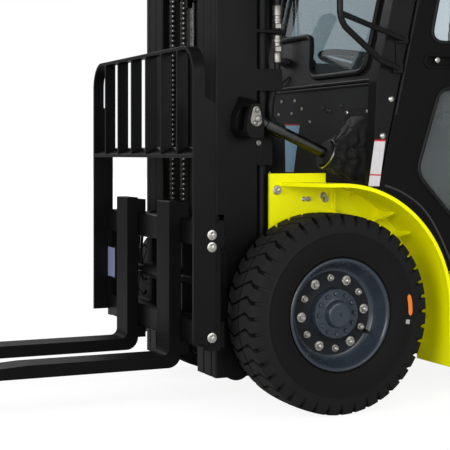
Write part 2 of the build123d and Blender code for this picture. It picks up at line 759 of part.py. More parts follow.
def fork(side):
    back = fork_face_x - fork_thick
    tip = fork_face_x + fork_length
    top = fork_under + fork_thick
    arm = outline(
        (back, fork_under), (tip, fork_under), (tip, fork_under + fork_tip), (fork_face_x + 520, top),
        (fork_face_x, top), (fork_face_x, fork_top), (back, fork_top)
    )
    arm = softened(
        arm, (back, fork_under, heel_r), (fork_face_x, top, heel_inner_r), (fork_face_x, fork_top, 6), (back, fork_top, 6)
    )
    y0 = fork_y - fork_w / 2
    y1 = fork_y + fork_w / 2
    shape = side_plate(arm, y0, y1)
    plan = Pos((back + tip) / 2, fork_y) * Rectangle(tip - back, fork_w)
    plan = fillet(plan.vertices().sort_by(Axis.X)[2:], 45)
    shape = shape & (Pos(0, 0, 100) * extrude(plan, amount=800, dir=(0, 0, 1)))
    shape += block(shift_x0 + 14, back + 2, y0, y1, bar_top_z + run_gap, fork_top - 8)
    shape += block(shift_x0 + 14, back + 2, y0, y1, bar_low_z - 46, bar_low_z - run_gap)
    if side < 0:
        shape = mirror(shape, about=Plane.XZ)
    return [shape]


def door_sketch():
    top = cab_top - 12
    low = 492.0
    shape = outline(
        (door_edge(top) - door_gap, top), (door_edge(780) - door_gap, 780), (-300, low + 140), (-470, low),
        (pillar_b_x + door_gap, low), (pillar_b_x + door_gap, top)
    )
    shape += outline((door_edge(780) - door_gap, 780), (-300, low), (-600, low), (-600, 780))
    return shape - Pos(0, front_r) * Circle(fender_r + door_gap + 2)


def upper_window():
    window_top = cab_top - 72
    shape = outline(
        (-371, 1328), (-371 - pillar_lean * (window_top - 1328), window_top), (-955, window_top), (-955, 1328)
    )
    return fillet(shape.vertices(), 45)


def lower_window():
    shape = outline((-416, 1163), (-314, 853), (-459, 698), (-560, 600), (-955, 600), (-955, 1163))
    return fillet(shape.vertices(), 35)


def door_frame(side):
    sheet = door_sketch() - upper_window() - lower_window()
    shape = side_plate(sheet, door_y0, door_y1)
    for z in hinge_levels:
        shape += rod_z(hinge_r, door_hinge_x, door_hinge_y, z - hinge_half, z + hinge_half)
        shape += block(door_hinge_x, door_hinge_x + 60, door_y1 - 1, door_hinge_y, z - 30, z + 30)
    pad = Pos(-415, 1259) * RectangleRounded(140, 52, 25)
    pocket = Pos(-415, 1259) * RectangleRounded(120, 34, 16)
    shape += side_plate(pad, door_y1 - 1, door_y1 + 6)
    shape -= side_plate(pocket, door_y1 - 10, door_y1 + 20)
    shape += rod_y(11, -402, 1263, door_y1 - 11, door_y1 + 3)
    if side < 0:
        shape = mirror(shape, about=Plane.XZ)
    return [shape]


def door_glass(side):
    upper = side_plate(upper_window(), 571, 577)
    lower = side_plate(lower_window(), 571, 577)
    panes = [upper, lower]
    if side < 0:
        panes = [mirror(p, about=Plane.XZ) for p in panes]
    return panes


def controls():
    shape = block(-350, -270, -60, 60, floor_z, 650)
    foot = (-310, 0, 640)
    top = (-430, 0, 1300)
    shape += rod_between(foot, top, 34)
    ring = Plane(origin=top, z_dir=Vector(*top) - Vector(*foot))
    shape += ring * Torus(wheel_r, 13)
    shape += ring * Cylinder(36, 40)
    shape += ring * Box(2 * wheel_r, 26, 12)
    levers = []
    for y in (-330, -280, -230):
        lever = block(-239, -222, y - 12, y + 12, screen_z, screen_z + 9)
        lever += rod_between((-231, y, screen_z + 6), (-306, y, 1285), 7)
        lever += rod_between((-303, y, 1281), (-332, y, 1315), 15)
        levers.append(lever)
    return [shape] + levers


def mirrors():
    foot = (-230, cab_y1 + 13, 1229)
    stem = (63, 700)
    half = tube([foot, (-144, 625, 1252), (*stem, 1372), (*stem, 1600)], 11, 75)
    half += rod_between((-252, cab_y1 + 12, 1334), (*stem, 1404), 10)
    half += block(-250, -212, cab_y1, cab_y1 + 16, 1212, 1246)
    half += block(-272, -234, cab_y1, cab_y1 + 16, 1318, 1350)
    half += block(-250, -228, cab_y1, cab_y1 + 6, 1230, 1330)
    head = Plane(origin=(50, 705, 1630), x_dir=(0, 1, 0), z_dir=(1, 0, 0)) * RectangleRounded(130, 220, 30)
    half += extrude(head, amount=28)
    return both(half)


def lamps():
    front_edge = door_edge(cab_top) + 94
    front = rod_x(45, 420, cab_top + 20, front_edge, front_edge + 60)
    rear = block(rear_wall_x - 24, rear_wall_x, 535, 583, 1290, 1480)
    return both(front) + both(rear)


def engine_hood():
    x0 = hood_hinge[0] - 5
    shape = block(x0, hood_front, -hood_y, hood_y, floor_z + run_gap, hood_hinge[1])
    shape = fillet(shape.edges().filter_by(Axis.Y).sort_by(Axis.Z)[-1:], 8)
    shape -= block(x0 - 10, hood_front - 14, -hood_y + 14, hood_y - 14, floor_z - 10, hood_hinge[1] - 14)
    shape += block(-1060, -680, -220, 220, hood_hinge[1] - 2, 1085)
    shape += rod_y(9, *hood_hinge, -400, 400)
    return [shape]


def seat_cushion():
    shape = block(-1070, -640, -245, 245, 1085, 1190)
    return [fillet(shape.edges().filter_by(Axis.Z), 60)]


def seat_back():
    shape = block(-45, 45, -235, 235, 0, 360)
    shape = fillet(shape.edges().filter_by(Axis.X), 70)
    low = 1190 + 45 * sin(radians(8)) + run_gap
    return [Pos(-1010, 0, low) * Rot(0, -8, 0) * shape]


def save(name, solids):
    moved = []
    for item in solids:
        for solid in item.solids():
            moved.append(solid.moved(Location((front_axle_x, 0, 0))))
    export_step(Compound(moved), os.path.join("parts", name + ".step"))


os.makedirs("parts", exist_ok=True)
nodes = {
    "chassis_frame": chassis_frame(),
    "side_tanks": side_tanks(),
    "front_fenders": front_fenders(),
    "drive_axle": drive_axle(),
    "steer_axle": steer_axle(),
    "counterweight": counterweight(),
    "engine_block": engine_block(),
    "body_covers": body_covers(),
    "cab_frame": cab_frame(),
    "cab_glass": cab_glass(),
    "front_panel": front_panel(),
    "tilt_boots": tilt_boots(),
    "controls": controls(),
    "mirrors": mirrors(),
    "lamps": lamps(),
    "engine_hood": engine_hood(),
    "seat_cushion": seat_cushion(),
    "seat_back": seat_back(),
    "door_left_frame": door_frame(1),
    "door_left_glass": door_glass(1),
    "door_right_frame": door_frame(-1),
    "door_right_glass": door_glass(-1),
    "front_left_tyre": [tyre(front_r, front_w, front_bead_r, front_rim_r, 0, front_y)],
    "front_left_rim": [front_rim(front_y)],
    "front_right_tyre": [mirror(tyre(front_r, front_w, front_bead_r, front_rim_r, 0, front_y), about=Plane.XZ)],
    "front_right_rim": [mirror(front_rim(front_y), about=Plane.XZ)],
    "rear_left_tyre": [tyre(rear_r, rear_w, rear_bead_r, rear_rim_r, steer_x, rear_y)],
    "rear_left_rim": [rear_rim(rear_y)],
    "rear_right_tyre": [mirror(tyre(rear_r, rear_w, rear_bead_r, rear_rim_r, steer_x, rear_y), about=Plane.XZ)],
    "rear_right_rim": [mirror(rear_rim(rear_y), about=Plane.XZ)],
    "knuckle_left": knuckle(1),
    "knuckle_right": knuckle(-1),
    "steer_rod": steer_rod(),
    "tilt_barrels": tilt_barrels(),
    "tilt_rods": tilt_rods(),
    "mast_outer": mast_outer(),
    "mast_hoses": mast_hoses(),
    "mast_middle": mast_middle(),
    "lift_rods": lift_rods(),
    "mast_inner": mast_inner(),
    "free_lift_piston": free_lift_piston(),
    "lift_chains": lift_chains(),
    "carriage": carriage(),
    "side_shift_frame": side_shift_frame(),
    "backrest": backrest(),
    "backrest_bars": backrest_bars(),
    "fork_left": fork(1),
    "fork_right": fork(-1),
}
for name, solids in nodes.items():
    save(name, solids)
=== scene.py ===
import json
import math
import random

import bpy
from bpy.props import FloatProperty, FloatVectorProperty, IntProperty, PointerProperty
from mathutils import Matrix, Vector


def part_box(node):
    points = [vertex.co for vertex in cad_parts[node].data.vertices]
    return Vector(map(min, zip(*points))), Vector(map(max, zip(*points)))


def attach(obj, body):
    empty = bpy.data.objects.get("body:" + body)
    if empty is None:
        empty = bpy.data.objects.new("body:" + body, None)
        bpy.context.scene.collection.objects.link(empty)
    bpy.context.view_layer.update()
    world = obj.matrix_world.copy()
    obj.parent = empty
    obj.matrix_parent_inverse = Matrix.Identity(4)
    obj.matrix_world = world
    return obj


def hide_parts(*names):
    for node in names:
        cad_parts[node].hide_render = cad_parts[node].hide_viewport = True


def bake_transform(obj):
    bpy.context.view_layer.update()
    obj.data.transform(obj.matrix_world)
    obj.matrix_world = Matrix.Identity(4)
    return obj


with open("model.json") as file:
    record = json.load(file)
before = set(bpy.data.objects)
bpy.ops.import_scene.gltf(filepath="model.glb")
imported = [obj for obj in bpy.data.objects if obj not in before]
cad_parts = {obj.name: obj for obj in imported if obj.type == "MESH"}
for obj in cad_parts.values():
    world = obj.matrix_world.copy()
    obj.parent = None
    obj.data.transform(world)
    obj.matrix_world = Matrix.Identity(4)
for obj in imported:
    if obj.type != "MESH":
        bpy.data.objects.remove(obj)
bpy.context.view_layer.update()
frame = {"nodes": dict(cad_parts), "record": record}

bl_info = {
    "name": "Counterbalance forklift dressing",
    "version": (1, 0, 0),
    "blender": (4, 5, 0),
    "location": "3D View > Sidebar > Forklift",
    "description": "Finishes, wheels, hoses, seals and fasteners on the packed forklift",
    "category": "Object",
}

FRONT_AXLE = 0.2968
SIDES = ((1, "left"), (-1, "right"))
FORWARD = (1, 0, 0)


def spot(x, y, z):
    """A point given in mm from the front axle, as metres in the frame."""
    return Vector((FRONT_AXLE + x / 1000.0, y / 1000.0, z / 1000.0))


# Sizes and colours a user would change

class WheelSizes(bpy.types.PropertyGroup):
    lugs: IntProperty(name="Lugs", description="Tread lugs round each front tyre", default=40, min=8)
    rear_lugs: IntProperty(name="Rear lugs", description="Tread lugs round each rear tyre", default=36, min=8)
    groove: FloatProperty(name="Groove depth", description="Depth of the tread grooves",
                          default=0.018, unit="LENGTH")
    nut_circle: FloatProperty(name="Nut circle", description="Radius of the wheel nut circle",
                              default=0.126, unit="LENGTH")
    hub_circle: FloatProperty(name="Hub circle", description="Radius of the hub bolt circle",
                              default=0.072, unit="LENGTH")


class TrimSizes(bpy.types.PropertyGroup):
    seal: FloatProperty(name="Seal", description="Radius of the window rubber", default=0.009, unit="LENGTH")
    link_pitch: FloatProperty(name="Link pitch", description="Pitch of the load chain",
                              default=0.019, unit="LENGTH")
    boot_folds: IntProperty(name="Boot folds", description="Folds in each tilt cylinder boot",
                            default=6, min=2)


class PaintColours(bpy.types.PropertyGroup):
    yellow: FloatVectorProperty(name="Body yellow", description="Chassis and fender paint",
                                subtype="COLOR", default=(0.92, 0.90, 0.0015))
    mast: FloatVectorProperty(name="Mast black", description="Mast, fork and carriage paint",
                              subtype="COLOR", default=(0.0034, 0.0035, 0.0037))
    cab: FloatVectorProperty(name="Cab black", description="Cab and door paint",
                             subtype="COLOR", default=(0.0075, 0.0076, 0.0080))
    rim: FloatVectorProperty(name="Rim slate", description="Wheel rim paint",
                             subtype="COLOR", default=(0.022, 0.031, 0.044))
    rubber: FloatVectorProperty(name="Rubber", description="Tyre rubber",
                                subtype="COLOR", default=(0.0085, 0.0085, 0.0088))
    iron: FloatVectorProperty(name="Counterweight", description="Cast counterweight paint",
                              subtype="COLOR", default=(0.032, 0.034, 0.037))
    zinc: FloatVectorProperty(name="Zinc", description="Plated bolts and fittings",
                              subtype="COLOR", default=(0.50, 0.49, 0.46))
    glass: FloatVectorProperty(name="Glass", description="Tint of the windows",
                               subtype="COLOR", default=(0.72, 0.78, 0.81))
    screen: FloatVectorProperty(name="Windscreen", description="Tint of the windscreen",
                                subtype="COLOR", default=(0.23, 0.29, 0.31))


def sizes():
    return bpy.context.scene.forklift_wheels


def trims():
    return bpy.context.scene.forklift_trims


def colours():
    return bpy.context.scene.forklift_colours


# Finishes

# A colour is a triple, or the name of a user's colour that tone makes lighter or darker.
GLASS = ("glass", 0.03, 0.5, 0.03, 2, 2, 0.004, dict(rough_spread=0.015))
LABEL = (0.45, 0.4, 0.05, 40, 300, 0.03, {})
LENS = (0.12, 0.5, 0.08, 60, 260, 0.35, dict(coat=0.5))
FINISHES = {
    "body_yellow_paint": ("yellow", 0.34, 0.14, 0.03, 3, 160, 0.03, dict(rough_spread=0.05, bevel=0.002)),
    "mast_black_paint": ("mast", 0.38, 0.125, 0.20, 7, 500, 0.10, dict(bevel=0.0035)),
    "fork_black_paint": ("mast", 0.42, 0.05, 0.22, 7, 500, 0.12, dict(tone=1.3, bevel=0.0035)),
    "cab_black_paint": ("cab", 0.36, 0.14, 0.15, 5, 650, 0.12, dict(bevel=0.003)),
    "door_black_paint": ("cab", 0.36, 0.085, 0.15, 5, 650, 0.12, dict(tone=0.6, bevel=0.003)),
    "panel_satin_paint": ((0.017, 0.0175, 0.0185), 0.45, 0.25, 0.12, 5, 650, 0.10, dict(bevel=0.002)),
    "axle_black_paint": ((0.009, 0.009, 0.0095), 0.5, 0.18, 0.3, 14, 300, 0.15, dict(bevel=0.002)),
    "cast_charcoal": ("iron", 0.5, 0.4, 0.12, 6, 180, 0.22, dict(bevel=0.006)),
    "engine_grey_paint": ((0.10, 0.10, 0.105), 0.55, 0.5, 0.25, 12, 200, 0.2, {}),
    "cover_textured_grey": ((0.045, 0.047, 0.050), 0.6, 0.35, 0.1, 8, 900, 0.4, dict(bevel=0.003)),
    "rim_slate_paint": ("rim", 0.27, 0.50, 0.14, 14, 260, 0.05, {}),
    # Darker disc colour: painted shade in the rim's recess under the nuts.
    "disc_dark_primer": ((0.0085, 0.0105, 0.0135), 0.5, 0.16, 0.25, 22, 300, 0.08, {}),
    "tyre_rubber": ("rubber", 0.68, 0.14, 0.22, 18, 700, 0.25, {}),
    # Lug tops twice as light as the rubber: painted light falling on the tread from the front.
    "tread_rubber": ("rubber", 0.75, 0.16, 0.22, 30, 600, 0.3, dict(tone=2.0)),
    "wall_rubber": ("rubber", 0.7, 0.12, 0.2, 30, 600, 0.2, dict(tone=0.65)),
    "trim_rubber": ((0.007, 0.007, 0.0075), 0.5, 0.18, 0.2, 30, 800, 0.12, {}),
    "bead_rubber": ((0.030, 0.030, 0.031), 0.4, 0.5, 0.12, 9, 420, 0.06, {}),
    "zinc_plate": ("zinc", 0.30, 0.5, 0.14, 90, 900, 0.08, dict(metal=1.0, rough_spread=0.1)),
    "dull_zinc": ((0.27, 0.26, 0.24), 0.42, 0.5, 0.16, 60, 900, 0.1, dict(metal=1.0)),
    "bright_chrome": ((0.70, 0.71, 0.72), 0.10, 0.5, 0.04, 20, 900, 0.01, dict(metal=1.0, rough_spread=0.04)),
    # Chrome darkened as a painted reflection of the dark panel beside the rods.
    "worn_tilt_rod": ((0.075, 0.075, 0.073), 0.26, 0.5, 0.2, 25, 600, 0.03, dict(metal=1.0)),
    "oiled_chain_steel": ((0.050, 0.049, 0.047), 0.24, 0.5, 0.3, 60, 700, 0.1, dict(metal=0.9)),
    "moulded_plastic": ((0.016, 0.016, 0.017), 0.5, 0.4, 0.12, 20, 1200, 0.3, {}),
    "boot_cloth": ((0.006, 0.006, 0.0063), 0.6, 0.14, 0.25, 25, 900, 0.2, {}),
    "seat_vinyl_black": ((0.014, 0.014, 0.015), 0.5, 0.4, 0.15, 12, 500, 0.1, {}),
    "door_glass": GLASS,
    "cab_glass_tint": GLASS,
    "mirror_silver": ((0.80, 0.82, 0.83), 0.04, 0.5, 0.02, 4, 40, 0.005, dict(metal=1.0, rough_spread=0.015)),
    "lamp_lens": ((0.62, 0.62, 0.58), 0.15, 0.5, 0.05, 30, 60, 0.15, dict(coat=0.5)),
    "clear_lens": ((0.72, 0.74, 0.75), 0.08, 0.6, 0.05, 30, 220, 0.35, dict(coat=0.6)),
    "lens_stop": ((0.42, 0.012, 0.010), *LENS),
    "lens_turn": ((0.62, 0.20, 0.012), *LENS),
    "lens_reverse": ((0.66, 0.66, 0.64), *LENS),
    "label_orange": ((0.80, 0.20, 0.015), *LABEL),
    "label_grey": ((0.36, 0.36, 0.35), *LABEL),
    "label_blue": ((0.40, 0.66, 1.0), *LABEL),
    "label_red": ((0.55, 0.03, 0.02), *LABEL),
    "label_lavender": ((0.24, 0.26, 0.44), *LABEL),
    "label_white": ((0.60, 0.58, 0.60), *LABEL),
}


def shade(colour, factor):
    """The colour made lighter or darker, with the fourth value that a socket takes."""
    return (min(colour[0] * factor, 1.0), min(colour[1] * factor, 1.0), min(colour[2] * factor, 1.0), 1.0)


def add_node(tree, kind, **values):
    """A new shader node; an underscore in the name of a constant stands for a space."""
    node = tree.nodes.new(kind)
    for key, value in values.items():
        node.inputs[key.replace("_", " ")].default_value = value
    return node


def object_node(tree, kind, **values):
    """A new shader node that takes the object coordinates."""
    node = add_node(tree, kind, **values)
    where = tree.nodes.new("ShaderNodeTexCoord")
    tree.links.new(where.outputs["Object"], node.inputs["Vector"])
    return node


def finish(name, colour, rough, spec, spread, patch, grain, bump,
           metal=0.0, coat=0.0, rough_spread=0.08, bevel=0.0):
    """A painted, cast, moulded or plated surface with patchy colour, uneven gloss and fine grain."""
    mat = bpy.data.materials.new(name)
    mat.use_nodes = True
    tree = mat.node_tree
    link = tree.links.new
    body = tree.nodes["Principled BSDF"]
    body.inputs["Metallic"].default_value = metal
    body.inputs["Specular IOR Level"].default_value = spec
    if coat:
        body.inputs["Coat Weight"].default_value = coat
        body.inputs["Coat Roughness"].default_value = 0.12
    patches = object_node(tree, "ShaderNodeTexNoise", Scale=patch, Detail=5.0)
    mix = tree.nodes.new("ShaderNodeMix")
    mix.data_type = "RGBA"
    mix.inputs[6].default_value = shade(colour, 1.0 - spread)
    mix.inputs[7].default_value = shade(colour, 1.0 + spread)
    link(patches.outputs["Fac"], mix.inputs[0])
    link(mix.outputs[2], body.inputs["Base Color"])
    span = add_node(tree, "ShaderNodeMapRange", To_Min=max(rough - rough_spread, 0.02),
                    To_Max=min(rough + rough_spread, 1.0))
    link(patches.outputs["Fac"], span.inputs["Value"])
    link(span.outputs["Result"], body.inputs["Roughness"])
    fine = object_node(tree, "ShaderNodeTexNoise", Scale=grain, Detail=3.0)
    dent = add_bump(mat, fine.outputs["Fac"], bump)
    if bevel:
        edge = add_node(tree, "ShaderNodeBevel", Radius=bevel)
        edge.samples = 4
        link(edge.outputs["Normal"], dent.inputs["Normal"])
    return mat


def add_bump(mat, height, strength):
    """Leads a height into the surface's normal, in place of one that is there."""
    tree = mat.node_tree
    dent = add_node(tree, "ShaderNodeBump", Strength=strength, Distance=0.001)
    tree.links.new(height, dent.inputs["Height"])
    tree.links.new(dent.outputs["Normal"], tree.nodes["Principled BSDF"].inputs["Normal"])
    return dent


def weave(mat):
    """Coated boot cloth: a fine weave in the bump and a dull sheen."""
    mat.node_tree.nodes["Principled BSDF"].inputs["Sheen Weight"].default_value = 0.08
    threads = object_node(mat.node_tree, "ShaderNodeTexWave", Scale=330.0, Distortion=1.5)
    add_bump(mat, threads.outputs["Fac"], 0.25)


def leather(mat):
    """Seat vinyl: leather-like cells in the bump."""
    cells = object_node(mat.node_tree, "ShaderNodeTexVoronoi", Scale=380.0)
    add_bump(mat, cells.outputs["Distance"], 0.3)


def clear(mat):
    """Lets light through a pane."""
    body = mat.node_tree.nodes["Principled BSDF"]
    body.inputs["Transmission Weight"].default_value = 0.94
    body.inputs["IOR"].default_value = 1.12


def tinted(mat):
    """Darkens the leaning windscreen against the other panes of the same node, by the distance forward."""
    clear(mat)
    tree = mat.node_tree
    link = tree.links.new
    base = tree.nodes["Principled BSDF"].inputs["Base Color"]
    light = base.links[0].from_socket
    apart = object_node(tree, "ShaderNodeSeparateXYZ")
    ahead = add_node(tree, "ShaderNodeMapRange", From_Min=-0.26, From_Max=-0.22)
    link(apart.outputs["X"], ahead.inputs["Value"])
    mix = tree.nodes.new("ShaderNodeMix")
    mix.data_type = "RGBA"
    mix.inputs[7].default_value = shade(colours().screen, 1.0)
    link(ahead.outputs["Result"], mix.inputs[0])
    link(light, mix.inputs[6])
    link(mix.outputs[2], base)


EXTRAS = {"boot_cloth": weave, "seat_vinyl_black": leather, "door_glass": clear, "cab_glass_tint": tinted}


def look(name):
    """The finish of that name, made when it is first asked for."""
    if name in bpy.data.materials:
        return bpy.data.materials[name]
    colour, *values, others = FINISHES[name]
    others = dict(others)
    tone = others.pop("tone", 1.0)
    if isinstance(colour, str):
        colour = shade(getattr(colours(), colour), tone)
    mat = finish(name, colour, *values, **others)
    if name in EXTRAS:
        EXTRAS[name](mat)
    return mat


# Mesh helpers

class Stock:
    """Vertices and faces gathered for one piece; radii, heights and profiles are in mm."""

    def __init__(self):
        self.verts = []
        self.faces = []

    def spin(self, centre, axis, profile, count, close=False, turn=0.0):
        """Turns (along, radius) points about an axis through centre."""
        axis = Vector(axis).normalized()
        side = axis.orthogonal().normalized()
        other = axis.cross(side)
        start = len(self.verts)
        n = len(profile)
        for i in range(count):
            a = turn + 2 * math.pi * i / count
            out = side * math.cos(a) + other * math.sin(a)
            for along, radius in profile:
                self.verts.append(centre + axis * (along / 1000.0) + out * (radius / 1000.0))
        for i in range(count):
            low = start + i * n
            next_low = start + (i + 1) % count * n
            for k in range(n if close else n - 1):
                m = (k + 1) % n
                self.faces.append((low + k, next_low + k, next_low + m, low + m))

    def hexagon(self, centre, axis, radius, height, turn=0.0):
        """A hexagon bolt head with a chamfered top."""
        start = len(self.verts)
        profile = [(0.0, radius), (height * 0.82, radius), (height, radius * 0.84)]
        self.spin(centre, axis, profile, 6, turn=turn)
        self.faces.append(tuple(range(start + 2, start + 18, 3)))

    def bolt(self, centre, axis, radius, height, turn):
        """A washer under a hexagon head with a small stud end."""
        axis = Vector(axis).normalized()
        up = axis * (height / 1000.0)
        wide = radius * 1.45
        self.spin(centre, axis, [(0.0, 0.0), (0.0, wide), (height * 0.14, wide), (height * 0.2, radius * 1.3),
                                 (height * 0.2, 0.0)], 20)
        self.hexagon(centre + up * 0.2, axis, radius, height * 0.8, turn)
        self.spin(centre + up, axis, [(-height * 0.1, radius * 0.5), (height * 0.12, radius * 0.48),
                                      (height * 0.18, radius * 0.3), (height * 0.18, 0.0)], 14)

    def dome(self, centre, axis, radius, height):
        """A low round-headed screw."""
        self.spin(centre, axis, [(0.0, radius), (height * 0.35, radius * 0.97), (height * 0.7, radius * 0.78),
                                 (height * 0.93, radius * 0.42), (height, 0.0)], 18)

    def slab(self, points, push):
        """A flat outline given as points in the frame, made as thick as push, in metres."""
        start = len(self.verts)
        n = len(points)
        push = Vector(push)
        self.verts.extend(Vector(p) for p in points)
        self.verts.extend(Vector(p) + push for p in points)
        self.faces.append(tuple(range(start + n - 1, start - 1, -1)))
        self.faces.append(tuple(range(start + n, start + 2 * n)))
        for i in range(n):
            j = (i + 1) % n
            self.faces.append((start + i, start + j, start + n + j, start + n + i))

    def make(self, name, mat, body, sharp=35.0):
        """A new mesh object that rides on one body, if one is given."""
        mesh = bpy.data.meshes.new(name)
        mesh.from_pydata([tuple(v) for v in self.verts], [], self.faces)
        mesh.validate()
        mesh.materials.append(mat)
        mesh.polygons.foreach_set("use_smooth", [True] * len(mesh.polygons))
        mesh.set_sharp_from_angle(angle=math.radians(sharp))
        obj = bpy.data.objects.new(name, mesh)
        bpy.context.scene.collection.objects.link(obj)
        if body:
            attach(obj, body)
        return obj


def rounded(points, radius, steps=6):
    """A closed outline in two coordinates with each corner turned into an arc-like curve."""
    out = []
    n = len(points)
    for i in range(n):
        before, here, after = Vector(points[i - 1]), Vector(points[i]), Vector(points[(i + 1) % n])
        cut_a = min(radius, (before - here).length * 0.45)
        cut_b = min(radius, (after - here).length * 0.45)
        a = here + (before - here).normalized() * cut_a
        b = here + (after - here).normalized() * cut_b
        for k in range(steps + 1):
            t = k / steps
            out.append(a * (1 - t) ** 2 + here * 2 * t * (1 - t) + b * t * t)
    return out


def soften(obj, width):
    """Rounds the edges of a piece."""
    mod = obj.modifiers.new("soft_edges", "BEVEL")
    mod.width = width
    mod.segments = 2
    mod.limit_method = "ANGLE"
    mod.angle_limit = math.radians(40)


def round_bar(name, points, radius, mat, body, closed=False):
    """A round bar, rubber or hose along a smooth curve."""
    curve = bpy.data.curves.new(name, "CURVE")
    curve.dimensions = "3D"
    curve.bevel_depth = radius
    curve.bevel_resolution = 4
    curve.resolution_u = 8
    curve.use_fill_caps = True
    line = curve.splines.new("NURBS")
    line.points.add(len(points) - 1)
    for dot, place in zip(line.points, points):
        dot.co = (*place, 1.0)
    line.use_cyclic_u = closed
    line.order_u = 3
    line.use_endpoint_u = not closed
    curve.materials.append(mat)
    obj = bpy.data.objects.new(name, curve)
    bpy.context.scene.collection.objects.link(obj)
    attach(obj, body)


def rubber_bar(name, points, radius, body, closed=False):
    """A round bar of black trim rubber."""
    round_bar(name, points, radius, look("trim_rubber"), body, closed)


def smooth_profile(points, steps):
    """Points on a curve through the given profile points."""
    pts = [Vector(p) for p in points]
    out = []
    for i in range(len(pts) - 1):
        p0 = pts[max(i - 1, 0)]
        p1, p2 = pts[i], pts[i + 1]
        p3 = pts[min(i + 2, len(pts) - 1)]
        for k in range(steps):
            t = k / steps
            a = 2 * p1
            b = (p2 - p0) * t
            c = (2 * p0 - 5 * p1 + 4 * p2 - p3) * t * t
            d = (3 * p1 - p0 - 3 * p2 + p3) * t ** 3
            out.append((a + b + c + d) * 0.5)
    out.append(pts[-1])
    return out


def ease(t):
    """A soft step from 0 to 1."""
    t = max(0.0, min(1.0, t))
    return t * t * (3 - 2 * t)


# Wheels: places and hub bolts in mm, the other sizes in metres or as shares

WHEELS = {
    "front": dict(place=(0.0, 501.0, 355.5), radius=0.3555, width=0.222, bead=0.184, edge=0.1965,
                  groove=1.0, disc=(0.0895, 0.153), face=0.0301, scale=1.0, nuts=12,
                  hub_scale=1.0, hub_face=0.0640, hub_bolt=8.8),
    "rear": dict(place=(-1700.0, 487.0, 293.0), radius=0.293, width=0.175, bead=0.129, edge=0.141,
                 groove=0.85, disc=(0.0630, 0.108), face=0.0321, scale=0.70, nuts=8,
                 hub_scale=0.66, hub_face=0.0460, hub_bolt=5.6),
}


def wheel_middle(kind, side):
    """The middle of the front or rear wheel on one side."""
    x, y, z = WHEELS[kind]["place"]
    return spot(x, y * side, z)


# Tyres

# Each rib on the wall: how far up the wall, and its height in metres
WALL_RIBS = ((0.135, 0.0016), (0.245, 0.0013), (0.61, 0.0030))
RIB_HALF_WIDTH = 0.0045
# Tread points as shares of the half width, and columns as shares of one lug
TREAD_STEPS = (0.845, 0.80, 0.72, 0.62, 0.55, 0.46, 0.36, 0.24, 0.12, 0.055, 0.042)
LUG_COLUMNS = (0.0, 0.045, 0.064, 0.084, 0.106, 0.130, 0.22, 0.36, 0.50, 0.64, 0.78, 0.870, 0.894, 0.916,
               0.936, 0.955)
# Where a groove bends, its sweep to there and back, as shares of the half width and of one lug
BEND, SWEEP, SWEEP_BACK = 0.46, 0.34, 0.28
# Half a groove's width at the middle, what it gains outward, and its slope, as shares of one lug
GROOVE_HALF, GROOVE_GAIN, GROOVE_SLOPE = 0.062, 0.044, 0.022
# Depth of the line round the middle, and how far the grooves cut into the wall, in metres
MIDDLE_LINE, WALL_CUT = 0.010, 0.011
# The wall is darker inside this share of its height, and a face cut less than this is a lug's top, which gets
# a lighter copy of the rubber as painted light
DARK_WALL = 0.60
LUG_TOP = 0.004


def tread_profile(radius, width, bead, edge):
    """Section points (y, r, kind) from one bead over the tread to the other; y is from the tyre's middle."""
    h = width / 2
    span = radius - bead
    wall = smooth_profile([
        (h * 0.78, bead), (h * 0.785, edge + 0.003), (h * 0.86, edge + 0.010),
        (h * 0.955, bead + 0.30 * span), (h, bead + 0.48 * span), (h * 0.992, bead + 0.66 * span),
        (h * 0.955, bead + 0.84 * span), (h * 0.92, radius - 0.016), (h * 0.88, radius - 0.007),
    ], 4)
    half = []
    for p in wall:
        lift = 0.0
        for share, size in WALL_RIBS:
            lift += size * max(0.0, 1 - abs(p.y - (bead + share * span)) / RIB_HALF_WIDTH)
        half.append((p.x + lift, p.y, "wall"))
    for f in TREAD_STEPS:
        half.append((h * f, radius - 0.005 * f * f, "tread"))
    other = [(-y, r, kind) for y, r, kind in reversed(half)]
    return half + [(0.0, radius, "tread")] + other


